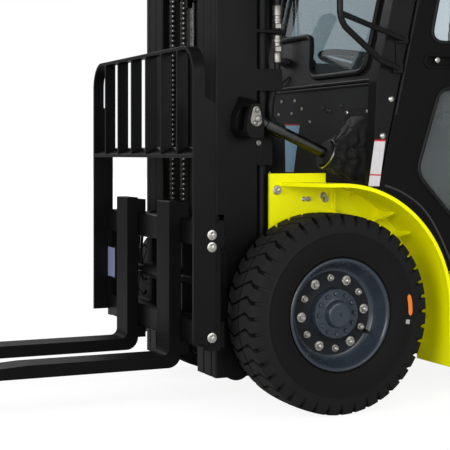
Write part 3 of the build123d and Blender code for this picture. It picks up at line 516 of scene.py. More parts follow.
def lug_tyre(kind, side, word, lugs):
    """A tyre whose sheared grid runs along the bent grooves, so that every lug has straight walls."""
    wheel = WHEELS[kind]
    radius, bead = wheel["radius"], wheel["bead"]
    h = wheel["width"] / 2
    deep = sizes().groove * wheel["groove"]
    centre = wheel_middle(kind, side)
    section = tread_profile(radius, wheel["width"], bead, wheel["edge"])
    pitch = 2 * math.pi / lugs
    tyre = Stock()
    cuts = []
    for lug in range(lugs):
        for u in LUG_COLUMNS:
            gap = min(u, 1.0 - u)
            for y, r, part in section:
                f = abs(y) / h
                if f < BEND:
                    sweep = SWEEP * f / BEND
                else:
                    sweep = SWEEP - SWEEP_BACK * ease((f - BEND) / 0.36)
                flip = -side if y >= 0 else side
                angle = (lug + u + flip * sweep) * pitch
                half_gap = GROOVE_HALF + GROOVE_GAIN * ease((f - 0.3) / 0.5)
                cut = 1.0 - ease((gap - half_gap) / GROOVE_SLOPE)
                inward = 0.0
                if part == "tread":
                    down = deep * (0.55 + 0.45 * ease((f - 0.1) / 0.6)) * cut
                    if f < 0.05:
                        down = max(down, MIDDLE_LINE)
                    cuts.append(down)
                else:
                    inward = WALL_CUT * cut * ease((r - (radius - 0.050)) / 0.036)
                    down = deep * 0.9 * cut * ease((r - (radius - 0.020)) / 0.014)
                    cuts.append(1.0)
                rr = r - down
                y -= math.copysign(inward, y)
                tyre.verts.append(centre + Vector((rr * math.sin(angle), y, rr * math.cos(angle))))
    n = len(section)
    total = lugs * len(LUG_COLUMNS)
    for i in range(total):
        low = i * n
        next_low = (i + 1) % total * n
        for k in range(n - 1):
            tyre.faces.append((low + k, low + k + 1, next_low + k + 1, next_low + k))
        tyre.faces.append((low + n - 1, low, next_low, next_low + n - 1))
    tail = kind + "_" + word
    obj = tyre.make("tyre_" + tail, look("tyre_rubber"), "wheel_" + tail, sharp=28.0)
    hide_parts(tail + "_tyre")
    obj.data.materials.append(look("tread_rubber"))
    obj.data.materials.append(look("wall_rubber"))
    ring = bead + DARK_WALL * (radius - bead)
    # Lug tops take the lighter rubber as painted light; the lower wall takes the darker rubber.
    for face in obj.data.polygons:
        away = face.center - centre
        if max(cuts[v] for v in face.vertices) < LUG_TOP:
            face.material_index = 1
        elif abs(away.y) > 0.5 * h and math.hypot(away.x, away.z) < ring:
            face.material_index = 2


class FORKLIFT_OT_tyres(bpy.types.Operator):
    """Four tyres with bent tread lugs, ribbed walls and blank wall labels"""
    bl_idname = "forklift.tyres"
    bl_label = "Tyres"

    def execute(self, context):
        for side, word in SIDES:
            lug_tyre("front", side, word, sizes().lugs)
            lug_tyre("rear", side, word, sizes().rear_lugs)
        wall_labels()
        return {"FINISHED"}


def wall_labels():
    """Two blank stickers on the left front tyre's outer wall."""
    x, y, z = WHEELS["front"]["place"]

    def on_wall(r, angle):
        a = math.radians(angle)
        lift = 111.0 - 0.00095 * (r - 266.0) ** 2 + 1.6
        return spot(x - r * math.cos(a), y + lift, z + r * math.sin(a))

    strip = []
    for k in range(13):
        squeeze = 1.0 - (abs(k - 6) / 6) ** 8 * 0.75
        strip.append([on_wall(275 + d * squeeze, -3.0 + 16.0 * k / 12) for d in (-8.5, -4, 0, 4, 8.5)])
    square = [[on_wall(266 + d, -9.5 + 3.4 * k / 3) for d in (-8, -3, 3, 8)] for k in range(4)]
    for name, colour, rows in (("tyre_wall_label", "label_orange", strip),
                               ("tyre_wall_tag", "label_grey", square)):
        label = Stock()
        wide = len(rows[0])
        for row in rows:
            label.verts.extend(row)
        for k in range(len(rows) - 1):
            for a in range(k * wide, (k + 1) * wide - 1):
                label.faces.append((a, a + 1, a + wide + 1, a + wide))
        label.make(name, look(colour), "wheel_front_left")


# Rims

# Distance from the wheel's middle and radius along the rim's face and back, in mm
RIM_FACES = {
    "front": ((-86.5, 183.5), (0, 181), (80, 183.8), (86.2, 188), (87.5, 194), (90.5, 198.5), (94.5, 199.2),
              (97.5, 196.5), (97.5, 191.5), (94.5, 187), (88, 183.5), (78, 180.5), (66, 176.5), (55, 171.5),
              (42, 166), (34, 159), (30.4, 150), (30, 120), (30, 96), (32.5, 90.5), (40, 88.5),
              (60.5, 88), (63.5, 86.5), (64, 83), (64, 55), (65.5, 49.5), (70, 47.5), (84, 46.2),
              (88.5, 44.5), (90.8, 41), (91.3, 34), (91.3, 5.5), (89.5, 4.8), (87.5, 4.2), (87, 0)),
    "rear": ((-68, 128.7), (0, 127), (62, 128.8), (67.5, 132), (69, 138), (72, 142.5), (75.8, 143),
             (78, 140.5), (77.8, 136), (74, 131), (62, 126.5), (48, 122), (38.5, 116.5), (33.5, 110),
             (32.2, 102), (32, 75), (32.5, 67), (36, 62.5), (42.5, 61), (45.5, 59), (46, 55), (46, 40),
             (47.5, 35.5), (56, 33.5), (60.5, 31), (62, 26), (62, 4), (60, 3.5), (59.8, 0)),
}
RIM_BACKS = {
    "front": ((-86.5, 183.5), (-87.5, 194), (-92.5, 198.5), (-96.5, 196.5), (-96.5, 190), (-90, 182),
              (-60, 173.5), (10, 166), (24, 158), (26, 120), (26, 89), (4, 87.5), (4, 40.3)),
    "rear": ((-68, 128.7), (-69, 138), (-73.5, 142.5), (-76.5, 140.5), (-76.5, 134), (-70, 126), (-40, 119),
             (4, 115), (16, 108), (18, 85), (18, 62), (-6, 60), (-6, 25.3)),
}
VALVE = ((0, 8), (6, 7.5), (10, 5), (30, 4.5), (30, 5.8), (42, 5.6), (44, 4), (44, 0))


class FORKLIFT_OT_rims(bpy.types.Operator):
    """Dished rims with rolled lips, hubs, wheel nuts, hub bolts and tyre valves"""
    bl_idname = "forklift.rims"
    bl_label = "Rims"

    def execute(self, context):
        for side, word in SIDES:
            for kind in WHEELS:
                dress_rim(kind, side, kind + "_" + word)
        return {"FINISHED"}


def round_wheel(start, radius, angle):
    """A point at a radius and an angle round the wheel's axis."""
    return start + Vector((radius * math.sin(angle), 0, radius * math.cos(angle)))


def dress_rim(kind, side, tail):
    """One rim with its nuts, hub bolts and valve."""
    wheel = WHEELS[kind]
    body = "wheel_" + tail
    centre = wheel_middle(kind, side)
    axis = Vector((0, side, 0))
    dish = Stock()
    dish.spin(centre, axis, RIM_FACES[kind], 96)
    dish.spin(centre, axis, RIM_BACKS[kind], 96)
    rim = dish.make("rim_" + tail, look("rim_slate_paint"), body, sharp=50.0)
    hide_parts(tail + "_rim")
    # Darkens the disc between the hub and the nut circle as painted shade.
    darken_disc(rim, centre, *wheel["disc"])
    disc = centre + axis * wheel["face"]
    hub_end = centre + axis * wheel["hub_face"]
    step = 2 * math.pi / wheel["nuts"]
    nuts = Stock()
    hub = Stock()
    for i in range(wheel["nuts"]):
        place = round_wheel(disc, sizes().nut_circle * wheel["scale"], step * (i + 0.14))
        wheel_nut(nuts, place, axis, kind == "rear" or i % 2 == 1)
        a = step * (i + 0.05)
        place = round_wheel(hub_end, sizes().hub_circle * wheel["hub_scale"], a)
        hub.hexagon(place, axis, wheel["hub_bolt"], wheel["hub_bolt"] * 0.95, a)
    nuts.make("wheel_nuts_" + tail, look("zinc_plate"), body, sharp=30.0)
    hub.make("hub_bolts_" + tail, look("rim_slate_paint"), body, sharp=30.0)
    a = math.radians(118 if side > 0 else 242)
    stem = Stock()
    foot = round_wheel(disc, 0.150 * wheel["scale"], -a)
    stem.spin(foot, axis + Vector((0.25 * math.sin(a), 0, 0)), VALVE, 16)
    stem.make("tyre_valve_" + tail, look("trim_rubber"), body)


def darken_disc(rim, centre, inner, outer):
    """Gives the recessed disc under the wheel nuts a darker colour as painted shade."""
    rim.data.materials.append(look("disc_dark_primer"))
    for face in rim.data.polygons:
        reach = math.hypot(face.center.x - centre.x, face.center.z - centre.z)
        if inner < reach < outer:
            face.material_index = 1


def wheel_nut(stock, place, axis, big):
    """A wheel nut on its washer with the stud's end showing."""
    radius, height = (12.8, 24.0) if big else (10.8, 21.0)
    flare = radius * (1.42 if big else 1.2)
    up = axis * (height / 1000.0)
    stock.spin(place, axis, [(0.0, flare), (height * 0.18, flare), (height * 0.26, flare * 0.93),
                             (height * 0.26, radius * 0.8)], 24)
    stock.hexagon(place + up * 0.24, axis, radius, height * 0.56, 0.3)
    stock.spin(place + up * 0.7, axis, [(0.0, radius * 0.62), (height * 0.22, radius * 0.62),
                                        (height * 0.30, radius * 0.48), (height * 0.30, 0.0)], 18)


# Tilt cylinder boots, in mm from the front axle

TILT_REAR = (-271.0, 821.0)
TILT_FRONT = (250.0, 1049.0)
TILT_Y = 410.0
PANEL_X = -175.0
BOOT_Z = 933.0
# The boot's neck on the cylinder, in metres
NECK_RADIUS = 0.0545


def tilt_point(distance, side):
    """A point on the tilt cylinder's axis, at a distance from its rear pin."""
    dx, dz = TILT_FRONT[0] - TILT_REAR[0], TILT_FRONT[1] - TILT_REAR[1]
    length = math.hypot(dx, dz)
    return spot(TILT_REAR[0] + dx * distance / length, TILT_Y * side, TILT_REAR[1] + dz * distance / length)


class FORKLIFT_OT_boots(bpy.types.Operator):
    """Folded cloth boots between the front panel and the tilt cylinders, with clamp rings and flanges"""
    bl_idname = "forklift.boots"
    bl_label = "Tilt boots"

    def execute(self, context):
        rng = random.Random(11)
        cloth = look("boot_cloth")
        stock = Stock()
        ring = Stock()
        plate = Stock()
        for side in (1, -1):
            foot = spot(PANEL_X, TILT_Y * side, BOOT_Z)
            axis = (tilt_point(260, side) - tilt_point(200, side)).normalized()
            fold_cloth(stock, foot, tilt_point(253, side), axis, trims().boot_folds, rng)
            clamp = [(0.0, 53.5), (0.0, 56.2), (6.0, 56.2), (6.0, 53.5)]
            ring.spin(tilt_point(247, side), axis, clamp, 48, close=True)
            flange(plate, side)
        boot = stock.make("tilt_boot_cloth", cloth, None, sharp=80.0)
        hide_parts("tilt_boots")
        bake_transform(boot)
        ring.make("boot_clamp_rings", look("zinc_plate"), "tilt_cylinders")
        plate.make("boot_flanges", cloth, "truck")
        return {"FINISHED"}


def flange(stock, side):
    """The flat frame that holds a boot on the panel: its front and its outer edge."""
    edge = rounded([(-94, -140), (94, -140), (94, 156), (-94, 156)], 26)
    inner = rounded([(-77, -131), (77, -131), (77, 131), (-77, 131)], 38)
    n = len(edge)
    base = len(stock.verts)
    for lift in (0.0, 0.003):
        for p in edge + inner:
            stock.verts.append(spot(PANEL_X, TILT_Y * side + p.x, BOOT_Z + p.y) + Vector((lift, 0, 0)))
    for i in range(n):
        j = (i + 1) % n
        stock.faces.append((base + 2 * n + i, base + 2 * n + j, base + 3 * n + j, base + 3 * n + i))
        stock.faces.append((base + i, base + j, base + 2 * n + j, base + 2 * n + i))


def sack_ring(a):
    """Across and up from the foot's middle, in mm: a rounded rectangle at one angle."""
    wide, high, power = 79.0, 134.0, 5.0
    c, s = math.cos(a), math.sin(a)
    size = (abs(c / wide) ** power + abs(s / high) ** power) ** (-1.0 / power)
    return size * c, size * s


def fold_cloth(stock, foot, neck, axis, folds, rng):
    """A slack sack from the panel's rounded flange to the cylinder's neck, drawn into uneven folds."""
    rings, round_count = 64, 96
    start = len(stock.verts)
    waves = [(rng.uniform(0, 6.28), rng.randint(2, 7), rng.uniform(0.4, 1.0)) for _ in range(7)]
    creases = [(rng.uniform(0, 6.28), rng.uniform(0.12, 0.30), rng.uniform(-0.5, 0.5), rng.uniform(0.4, 1.0))
               for _ in range(15)]
    for i in range(rings + 1):
        t = i / rings
        middle = foot.lerp(neck, t)
        ahead = Vector(FORWARD).lerp(axis, ease(t)).normalized()
        side = Vector((0, 1, 0))
        up = ahead.cross(side).normalized()
        slack = math.sin(math.pi * t) ** 0.55
        draw = t ** 0.72
        for k in range(round_count):
            a = 2 * math.pi * k / round_count
            across, high = sack_ring(a)
            across = across / 1000.0 * (1 - draw) + NECK_RADIUS * math.cos(a) * draw
            high = high / 1000.0 * (1 - draw) + NECK_RADIUS * math.sin(a) * draw
            sway = sum(s * math.sin(n * a + p + 2.0 * t) for p, n, s in waves) * 0.12
            fold = math.sin(2 * math.pi * folds * 0.55 * (t + 0.10 * sway) + 1.3 * math.sin(a + waves[0][0]))
            pinch = 0.0
            for where, width, lean, depth in creases:
                gap = (a + lean * t * 3.0 - where + math.pi) % (2 * math.pi) - math.pi
                pinch += depth * max(0.0, 1.0 - abs(gap) / width)
            out = slack * (0.0065 * fold + 0.0080 * sway - 0.0125 * pinch)
            scale = 1.0 + out / max(math.hypot(across, high), 0.03)
            stock.verts.append(middle + side * across * scale + up * high * scale)
    for i in range(rings):
        for k in range(round_count):
            m = (k + 1) % round_count
            a, b = start + i * round_count, start + (i + 1) * round_count
            stock.faces.append((a + k, a + m, b + m, b + k))


# Chains and hoses, in mm

CHAIN_Y = 55.0
CHAIN_PIN = ((0.0, 0.0), (0.0, 4.0), (0.6, 5.0), (23.0, 5.0), (23.6, 4.0), (23.6, 0.0))
SHEAVE_X, SHEAVE_Z, SHEAVE_RADIUS = 315.0, 1560.0, 65.0
CHAIN_FOOT, CHAIN_ANCHOR = 560.0, 1165.0
LINK_THICKNESS = 4.0


class FORKLIFT_OT_chains(bpy.types.Operator):
    """Leaf chains made of link plates and pins over the free-lift sheaves"""
    bl_idname = "forklift.chains"
    bl_label = "Load chains"

    def execute(self, context):
        path = chain_path(trims().link_pitch * 1000.0)
        stock = Stock()
        pins = Stock()
        for side in (1, -1):
            for i in range(len(path) - 1):
                for offset in (-8.6, 0.0, 8.6) if i % 2 == 0 else (-4.3, 4.3):
                    link_plate(stock, path[i], path[i + 1], CHAIN_Y * side + offset)
                x, z = path[i]
                pins.spin(spot(x, CHAIN_Y * side - 11.8, z), (0, 1, 0), CHAIN_PIN, 12)
        chain = stock.make("leaf_chains", look("oiled_chain_steel"), "free_lift", sharp=40.0)
        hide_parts("lift_chains")
        pins.make("chain_pins", look("zinc_plate"), "free_lift", sharp=40.0)
        return {"FINISHED"}


def chain_path(pitch):
    """Pin centres from the carriage, over the sheave and down to the anchor."""
    points = []
    front = SHEAVE_Z - CHAIN_FOOT
    arc = math.pi * SHEAVE_RADIUS
    rear = SHEAVE_Z - CHAIN_ANCHOR
    s = 0.0
    while s <= front + arc + rear:
        if s < front:
            points.append((SHEAVE_X + SHEAVE_RADIUS, CHAIN_FOOT + s))
        elif s < front + arc:
            a = (s - front) / SHEAVE_RADIUS
            points.append((SHEAVE_X + SHEAVE_RADIUS * math.cos(a), SHEAVE_Z + SHEAVE_RADIUS * math.sin(a)))
        else:
            points.append((SHEAVE_X - SHEAVE_RADIUS, SHEAVE_Z - (s - front - arc)))
        s += pitch
    return points


def link_plate(stock, a, b, y):
    """One figure-eight link plate between two pins."""
    ax, az = a
    bx, bz = b
    length = math.hypot(bx - ax, bz - az)
    ux, uz = (bx - ax) / length, (bz - az) / length
    upper = [(-5.5, 0), (-4, 5), (0, 7), (0.28 * length, 6.2), (0.5 * length, 5.2), (0.72 * length, 6.2),
             (length, 7), (length + 4, 5), (length + 5.5, 0)]
    lower = [(along, -across) for along, across in reversed(upper[1:-1])]
    outline = []
    for along, across in upper + lower:
        x = ax + ux * along - uz * across
        z = az + uz * along + ux * across
        outline.append(spot(x, y - LINK_THICKNESS / 2, z))
    stock.slab(outline, (0, LINK_THICKNESS / 1000.0, 0))


UNION_FOOT = (115, 325, 1257)
UNION_SLEEVES = (
    ((0, 12.5), (0, 16.5), (6, 17.5), (30, 17.5), (34, 16), (38, 14.5), (38, 12.5)),
    ((60, 12.5), (60, 15), (72, 15), (74, 18.5), (84, 18.5), (86, 15), (98, 15), (98, 12.5)),
    ((143, 12.5), (143, 16), (150, 16), (152, 17.5), (158, 17.5), (160, 15), (170, 15), (172, 17.5),
     (205, 17.5), (209, 15.5), (209, 12.5)),
)
# Height in metres, radius and thickness of each nut
UNION_NUTS = ((0.040, 20.5, 20.0), (0.125, 20.0, 18.0))
SHIFTER_LOOPS = (
    ((-372, 600), (-388, 545), (-392, 483), (-345, 412), (-262, 391), (-186, 424), (-150, 500)),
    ((-352, 600), (-370, 550), (-372, 480), (-330, 430), (-262, 413), (-190, 442), (-160, 505)),
)


class FORKLIFT_OT_hose_fittings(bpy.types.Operator):
    """Plated unions on the mast hoses and the side shifter's hose loops"""
    bl_idname = "forklift.hose_fittings"
    bl_label = "Hose fittings"

    def execute(self, context):
        stock = Stock()
        axis = Vector((0, 0, 1))
        x, y, z = UNION_FOOT
        for side in (1, -1):
            foot = spot(x, y * side, z)
            for sleeve in UNION_SLEEVES:
                stock.spin(foot, axis, sleeve, 32)
            for height, radius, thick in UNION_NUTS:
                stock.hexagon(foot + axis * height, axis, radius, thick)
        stock.make("hose_unions", look("dull_zinc"), "mast", sharp=32.0)
        for i, loop in enumerate(SHIFTER_LOOPS):
            points = [spot(398 - 6 * i, y, z) for y, z in loop]
            rubber_bar("shifter_hose_%d" % (i + 1), points, 0.0060, "carriage_body")
        return {"FINISHED"}


# Seals, labels and small trim, in mm

WINDOW_UPPER = ((-371, 1328), (-528, 2008), (-955, 2008), (-955, 1328))
WINDOW_LOWER = ((-416, 1163), (-314, 853), (-459, 698), (-560, 600), (-955, 600), (-955, 1163))
SCREEN_EDGE = ((422, 1226), (422, 2020), (-422, 2020), (-422, 1404), (-65, 1404), (-12, 1226))
DOOR_SILL = ((-181, 809), (-217, 798), (-253, 784), (-321, 744), (-360, 705), (-390, 665), (-436, 585),
             (-462, 525))
DOOR_Y = 591.0
# How far the windscreen and the doors' front edges lean back for each mm of height
LEAN = 0.2303


def screen_x(z):
    """The windscreen's outer face."""
    return -196.0 - LEAN * (z - 1195.0)


def door_edge(z):
    """The door's leaning front edge."""
    return -157.0 - LEAN * (z - 805.0)


class FORKLIFT_OT_seals(bpy.types.Operator):
    """Window rubbers, the front panel's top strips, and the doors' edge seals and sill beads"""
    bl_idname = "forklift.seals"
    bl_label = "Window seals"

    def execute(self, context):
        r = trims().seal
        for side, word in SIDES:
            door = "door_" + word
            for name, outline, corner in (("upper", WINDOW_UPPER, 62), ("lower", WINDOW_LOWER, 48)):
                points = [spot(p.x, DOOR_Y * side, p.y) for p in rounded(outline, corner, 5)]
                rubber_bar(door + "_" + name + "_seal", points, r * 0.8, door, closed=True)
        points = [spot(screen_x(p.y) + 4.0, p.x, p.y) for p in rounded(SCREEN_EDGE, 62, 6)]
        rubber_bar("windscreen_seal", points, r * 1.25, "truck", closed=True)
        for i, z in enumerate((1176, 1190)):
            strip = [spot(PANEL_X + 1, y, z) for y in (-515, -200, 200, 515)]
            rubber_bar("panel_top_seal_%d" % (i + 1), strip, r * 0.7, "truck")
        for side, word in SIDES:
            door = "door_" + word
            edge = [spot(door_edge(z) - 12, (DOOR_Y - 0.5) * side, z) for z in (1060, 1400, 1750, 2040)]
            rubber_bar(door + "_edge_seal", edge, r * 0.55, door)
            sill = [spot(x, DOOR_Y * side, z) for x, z in DOOR_SILL]
            round_bar(door + "_sill_bead", sill, r * 0.42, look("bead_rubber"), door)
        return {"FINISHED"}


WIPER_PIVOTS = (-245, -280)
WIPER_PIVOT = ((0, 16), (12, 16), (14, 11), (34, 11), (36, 8.5), (44, 7.5), (44, 0))
# Across from the pivot, height and lift off the screen
WIPER_ARM = ((0, 1305, 40), (-14, 1345, 46), (-62, 1450, 44), (-108, 1575, 36), (-124, 1640, 30))
WASHER_TUBE = ((-250, 1300, 34), (-262, 1262, 40), (-285, 1225, 36), (-300, 1200, 20), (-268, 1203, 14),
               (-225, 1225, 10), (-205, 1243, 3))


class FORKLIFT_OT_wiper(bpy.types.Operator):
    """Wiper pivot, parallel arms, bridge, blade and washer tube on the windscreen"""
    bl_idname = "forklift.wiper"
    bl_label = "Wiper"

    def execute(self, context):
        black = look("moulded_plastic")
        normal = Vector((1.0, 0.0, LEAN)).normalized()

        def on_screen(y, z, lift):
            return spot(screen_x(z), y, z) + normal * (lift / 1000.0)

        pivot = Stock()
        for y in WIPER_PIVOTS:
            pivot.spin(on_screen(y, 1305, 0), normal, WIPER_PIVOT, 24)
        corners = ((-225, 1293), (-225, 1317), (-300, 1317), (-300, 1293))
        pivot.slab([on_screen(y, z, 8) for y, z in corners], normal * 0.022)
        soften(pivot.make("wiper_pivot", black, "truck"), 0.003)
        for i, y in enumerate(WIPER_PIVOTS):
            arm = [on_screen(y + across, z, lift) for across, z, lift in WIPER_ARM]
            round_bar("wiper_arm_%d" % (i + 1), arm, 0.0052, black, "truck")
        blade = [on_screen(-398, z, 22) for z in (1440, 1560, 1700, 1840, 1940)]
        rubber_bar("wiper_blade", blade, 0.0085, "truck")
        bridge = Stock()
        corners = ((-360, 1624), (-360, 1656), (-412, 1656), (-412, 1624))
        bridge.slab([on_screen(y, z, 24) for y, z in corners], normal * 0.010)
        soften(bridge.make("wiper_bridge", black, "truck"), 0.002)
        rubber_bar("washer_tube", [on_screen(*p) for p in WASHER_TUBE], 0.0032, "truck")
        return {"FINISHED"}


LABEL_THICKNESS = 0.0006


class FORKLIFT_OT_labels(bpy.types.Operator):
    """Blank stickers where the truck carries its plates"""
    bl_idname = "forklift.labels"
    bl_label = "Blank labels"

    def execute(self, context):
        def ahead(stock, x, corners, thick=LABEL_THICKNESS):
            stock.slab([spot(x, y, z) for y, z in corners], (thick, 0, 0))

        def leftward(stock, y, corners):
            stock.slab([spot(x, y, z) for x, z in corners], (0, LABEL_THICKNESS, 0))

        blue = Stock()
        ahead(blue, PANEL_X + 0.2, ((-188, 1045), (-53, 1042), (-108, 846), (-182, 846)))
        blue.make("panel_label", look("label_blue"), "truck")
        red = Stock()
        ahead(red, PANEL_X + 0.6, ((-188, 1045), (-53, 1042), (-54, 1036), (-188, 1039)))
        leftward(red, 588.6, ((-141, 972), (-186, 972), (-185, 966), (-140, 966)))
        leftward(red, 588.6, ((-122, 850), (-167, 848), (-166, 843), (-121, 845)))
        red.make("label_bands", look("label_red"), "truck")
        back = Stock()
        ahead(back, 475.0, ((-510, 404), (-438, 404), (-438, 541), (-510, 541)), 0.005)
        plate = back.make("shifter_label_plate", look("mast_black_paint"), "side_shifter")
        soften(plate, 0.0015)
        pale = Stock()
        ahead(pale, 480.2, ((-531, 412), (-446, 412), (-446, 533), (-531, 533)))
        pale.make("shifter_label", look("label_lavender"), "side_shifter")
        white = Stock()
        leftward(white, 588.2, ((-141, 972), (-186, 972), (-160, 806), (-115, 806)))
        white.make("pillar_label", look("label_white"), "truck")
        return {"FINISHED"}


LAMP_LENS = ((0.5, 39.5), (3, 37), (6, 30), (8.5, 20), (9.5, 0))
LAMP_RIM = ((-4, 45.2), (3, 46.2), (6, 44.5), (6, 40.5), (2, 39.5))
# Lower and upper edge of each rear lens
REAR_LENSES = (("stop", 1388, 1474), ("turn", 1328, 1384), ("reverse", 1296, 1324))


class FORKLIFT_OT_lenses(bpy.types.Operator):
    """Mirror glass, work lamp lenses with rims and rear lamp lenses"""
    bl_idname = "forklift.lenses"
    bl_label = "Mirrors and lenses"

    def execute(self, context):
        glass = Stock()
        lens = Stock()
        rims = Stock()
        for side in (1, -1):
            loop = rounded([(-56, -101), (56, -101), (56, 101), (-56, 101)], 26)
            glass.slab([spot(49.6, 705 * side + p.x, 1630 + p.y) for p in loop], (-0.0022, 0, 0))
            face = spot(-296.4, 420 * side, 2100)
            lens.spin(face, FORWARD, LAMP_LENS, 40)
            rims.spin(face, FORWARD, LAMP_RIM, 40)
        soften(glass.make("mirror_glass", look("mirror_silver"), "truck"), 0.0015)
        lens.make("work_lamp_lenses", look("clear_lens"), "truck")
        rims.make("work_lamp_rims", look("moulded_plastic"), "truck")
        for name, low, high in REAR_LENSES:
            rear = Stock()
            for side in (1, -1):
                loop = rounded([(539, low), (579, low), (579, high), (539, high)], 8)
                rear.slab([spot(-1354.2, p.x * side, p.y) for p in loop], (-0.004, 0, 0))
            soften(rear.make("rear_lens_" + name, look("lens_" + name), "truck"), 0.002)
        return {"FINISHED"}


PANEL_SCREWS = ((-216, 1138), (-97, 1137), (-36, 1102), (-244, 1084), (-124, 1085), (33, 1048), (498, 844),
                (-498, 844))
PANEL_PLUGS = ((148, 1098), (286, 1103), (178, 1088), (200, 1084))
FLANGE_SCREWS = ((-72, 143), (76, 143), (86, -92), (-86, -92), (86, 30), (-86, 30))
PILLAR_SCREWS = ((-209, 1118), (-174, 986))
# Place on the frame plate, radius, height and turn of each bolt
FRAME_BOLTS = ((141, 790, 12.0, 18.0, 0.4), (31, 756, 6.5, 11.0, 0.2), (12, 756, 6.5, 11.0, 0.2),
               (-49, 768, 9.5, 16.0, 0.7), (-57, 755, 9.5, 16.0, 0.7))
LOCK_BARREL = ((0, 10.5), (4, 10.5), (6, 8.5), (6.5, 3.5), (4, 3), (4, 0))


class FORKLIFT_OT_fasteners(bpy.types.Operator):
    """Bolts and screws on the panel, plates, pillars and backrest, tilt pin keepers and door locks"""
    bl_idname = "forklift.fasteners"
    bl_label = "Fasteners"

    def execute(self, context):
        zinc = look("zinc_plate")
        screws = Stock()
        for y, z in PANEL_SCREWS:
            screws.dome(spot(PANEL_X, y, z), FORWARD, 7.5, 5.0)
        dark = Stock()
        for y, z in PANEL_PLUGS:
            dark.dome(spot(PANEL_X, y, z), FORWARD, 8.5, 6.0)
        dark.make("panel_plugs", look("moulded_plastic"), "truck")
        plated = Stock()
        keepers = Stock()
        rest = Stock()
        for side in (1, -1):
            out = (0, side, 0)
            for y, z in FLANGE_SCREWS:
                screws.dome(spot(PANEL_X + 3, TILT_Y * side + y, BOOT_Z + z), FORWARD, 8.0, 6.0)
            for x, z in PILLAR_SCREWS:
                plated.dome(spot(x, 588 * side, z), out, 12.5, 9.0)
            for x, z, radius, height, turn in FRAME_BOLTS:
                plated.bolt(spot(x, 374 * side, z), out, radius, height, turn)
            pin_keeper(keepers, side)
            for z in (646, 605, 297):
                rest.bolt(spot(473, 547 * side, z), out, 11.8, 13.0, 0.3)
        screws.make("panel_screws", zinc, "truck")
        plated.make("frame_bolts", zinc, "truck", sharp=30.0)
        keepers.make("tilt_pin_keepers", look("dull_zinc"), "mast", sharp=30.0)
        rest.make("backrest_bolts", zinc, "side_shifter", sharp=30.0)
        for side, word in SIDES:
            lock = Stock()
            lock.spin(spot(-402, 593 * side, 1263), (0, side, 0), LOCK_BARREL, 24)
            lock.make("door_lock_" + word, zinc, "door_" + word)
        return {"FINISHED"}


def pin_keeper(stock, side):
    """The pear-shaped plate that holds a tilt pin, with its bolts."""
    out = (0, side, 0)
    plate = []
    for i in range(40):
        a = 2 * math.pi * i / 40
        reach, height = (22.0, 1041.0) if math.sin(a) < 0.25 else (13.5, 1076.0)
        plate.append(spot(263.0 + reach * math.cos(a), 450.2 * side, height + reach * math.sin(a)))
    stock.slab(plate, (0, 0.0068 * side, 0))
    stock.bolt(spot(263, 457 * side, 1077), out, 8.8, 10.0, 0.5)
    stock.dome(spot(268, 457 * side, 1030), out, 9.5, 7.0)
    stock.dome(spot(254, 457 * side, 1046), out, 13.0, 5.0)
    stock.bolt(spot(205, 355 * side, 961), out, 6.5, 9.0, 0.2)


# Seat, in metres

PAD_SWELL = 0.012
PAD_VOXEL = 0.007
SEAMS = (-0.12, -0.04, 0.04, 0.12)
SEAM_WIDTH = 0.010


class FORKLIFT_OT_seat(bpy.types.Operator):
    """Padded seat and backrest with sewn channels"""
    bl_idname = "forklift.seat"
    bl_label = "Seat"

    def execute(self, context):
        for node, name in (("seat_cushion", "seat_pad"), ("seat_back", "back_pad")):
            pad = cushion(name, node)
            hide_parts(node)
            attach(pad, "hood")
        return {"FINISHED"}


def cushion(name, node):
    """Copies the seat solid, swells it as cloth and sews channels into it."""
    mesh = frame["nodes"][node].data.copy()
    mesh.name = name
    obj = bpy.data.objects.new(name, mesh)
    bpy.context.scene.collection.objects.link(obj)
    low, high = (Vector(c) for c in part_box(node))
    middle = (low + high) / 2
    for v in mesh.vertices:
        v.co = middle + (v.co - middle) * 0.975
    mesh.materials.clear()
    mesh.materials.append(look("seat_vinyl_black"))
    mesh.remesh_voxel_size = PAD_VOXEL
    bpy.context.view_layer.objects.active = obj
    obj.select_set(True)
    bpy.ops.object.voxel_remesh()
    rest = [v.co.copy() for v in obj.data.vertices]
    swell(obj)
    ahead = [v.normal.x for v in obj.data.vertices]
    for v, start, face in zip(obj.data.vertices, rest, ahead):
        move = v.co - start
        if move.length > PAD_SWELL:
            v.co = start + move.normalized() * PAD_SWELL
        near = min(abs(v.co.y - s) for s in SEAMS)
        press = math.exp(-(near / SEAM_WIDTH) ** 2)
        if node == "seat_cushion":
            v.co.z -= 0.009 * ease((v.co.z - middle.z) / 0.03) * press
            v.co.z = max(v.co.z, low.z + 0.002)
        else:
            v.co.x -= 0.008 * ease((face - 0.3) / 0.4) * press
    obj.data.polygons.foreach_set("use_smooth", [True] * len(obj.data.polygons))
    obj.select_set(False)
    return obj


def swell(obj):
    """Runs the cloth solver for a few frames with air pressure inside the pad."""
    mod = obj.modifiers.new("pad_cloth", "CLOTH")
    mod.settings.use_pressure = True
    mod.settings.uniform_pressure_force = 4.0
    mod.settings.effector_weights.gravity = 0.0
    mod.settings.tension_stiffness = 20.0
    scene = bpy.context.scene
    for step in range(1, 13):
        scene.frame_set(step)
    bpy.ops.object.modifier_apply(modifier=mod.name)
    scene.frame_set(1)


# Finishes on the CAD nodes

SLOT_FINISHES = {
    "body_yellow": "body_yellow_paint", "mast_black": "mast_black_paint", "cab_black": "cab_black_paint",
    "axle_black": "axle_black_paint", "cast_grey": "cast_charcoal", "engine_grey": "engine_grey_paint",
    "cover_grey": "cover_textured_grey", "glass": "door_glass", "boot_fabric": "boot_cloth",
    "control_plastic": "moulded_plastic", "lamp_plastic": "lamp_lens", "seat_vinyl": "seat_vinyl_black",
    "tyre": "tyre_rubber", "rim_slate": "rim_slate_paint", "chrome": "bright_chrome",
    "hose_rubber": "trim_rubber", "chain_steel": "oiled_chain_steel",
}
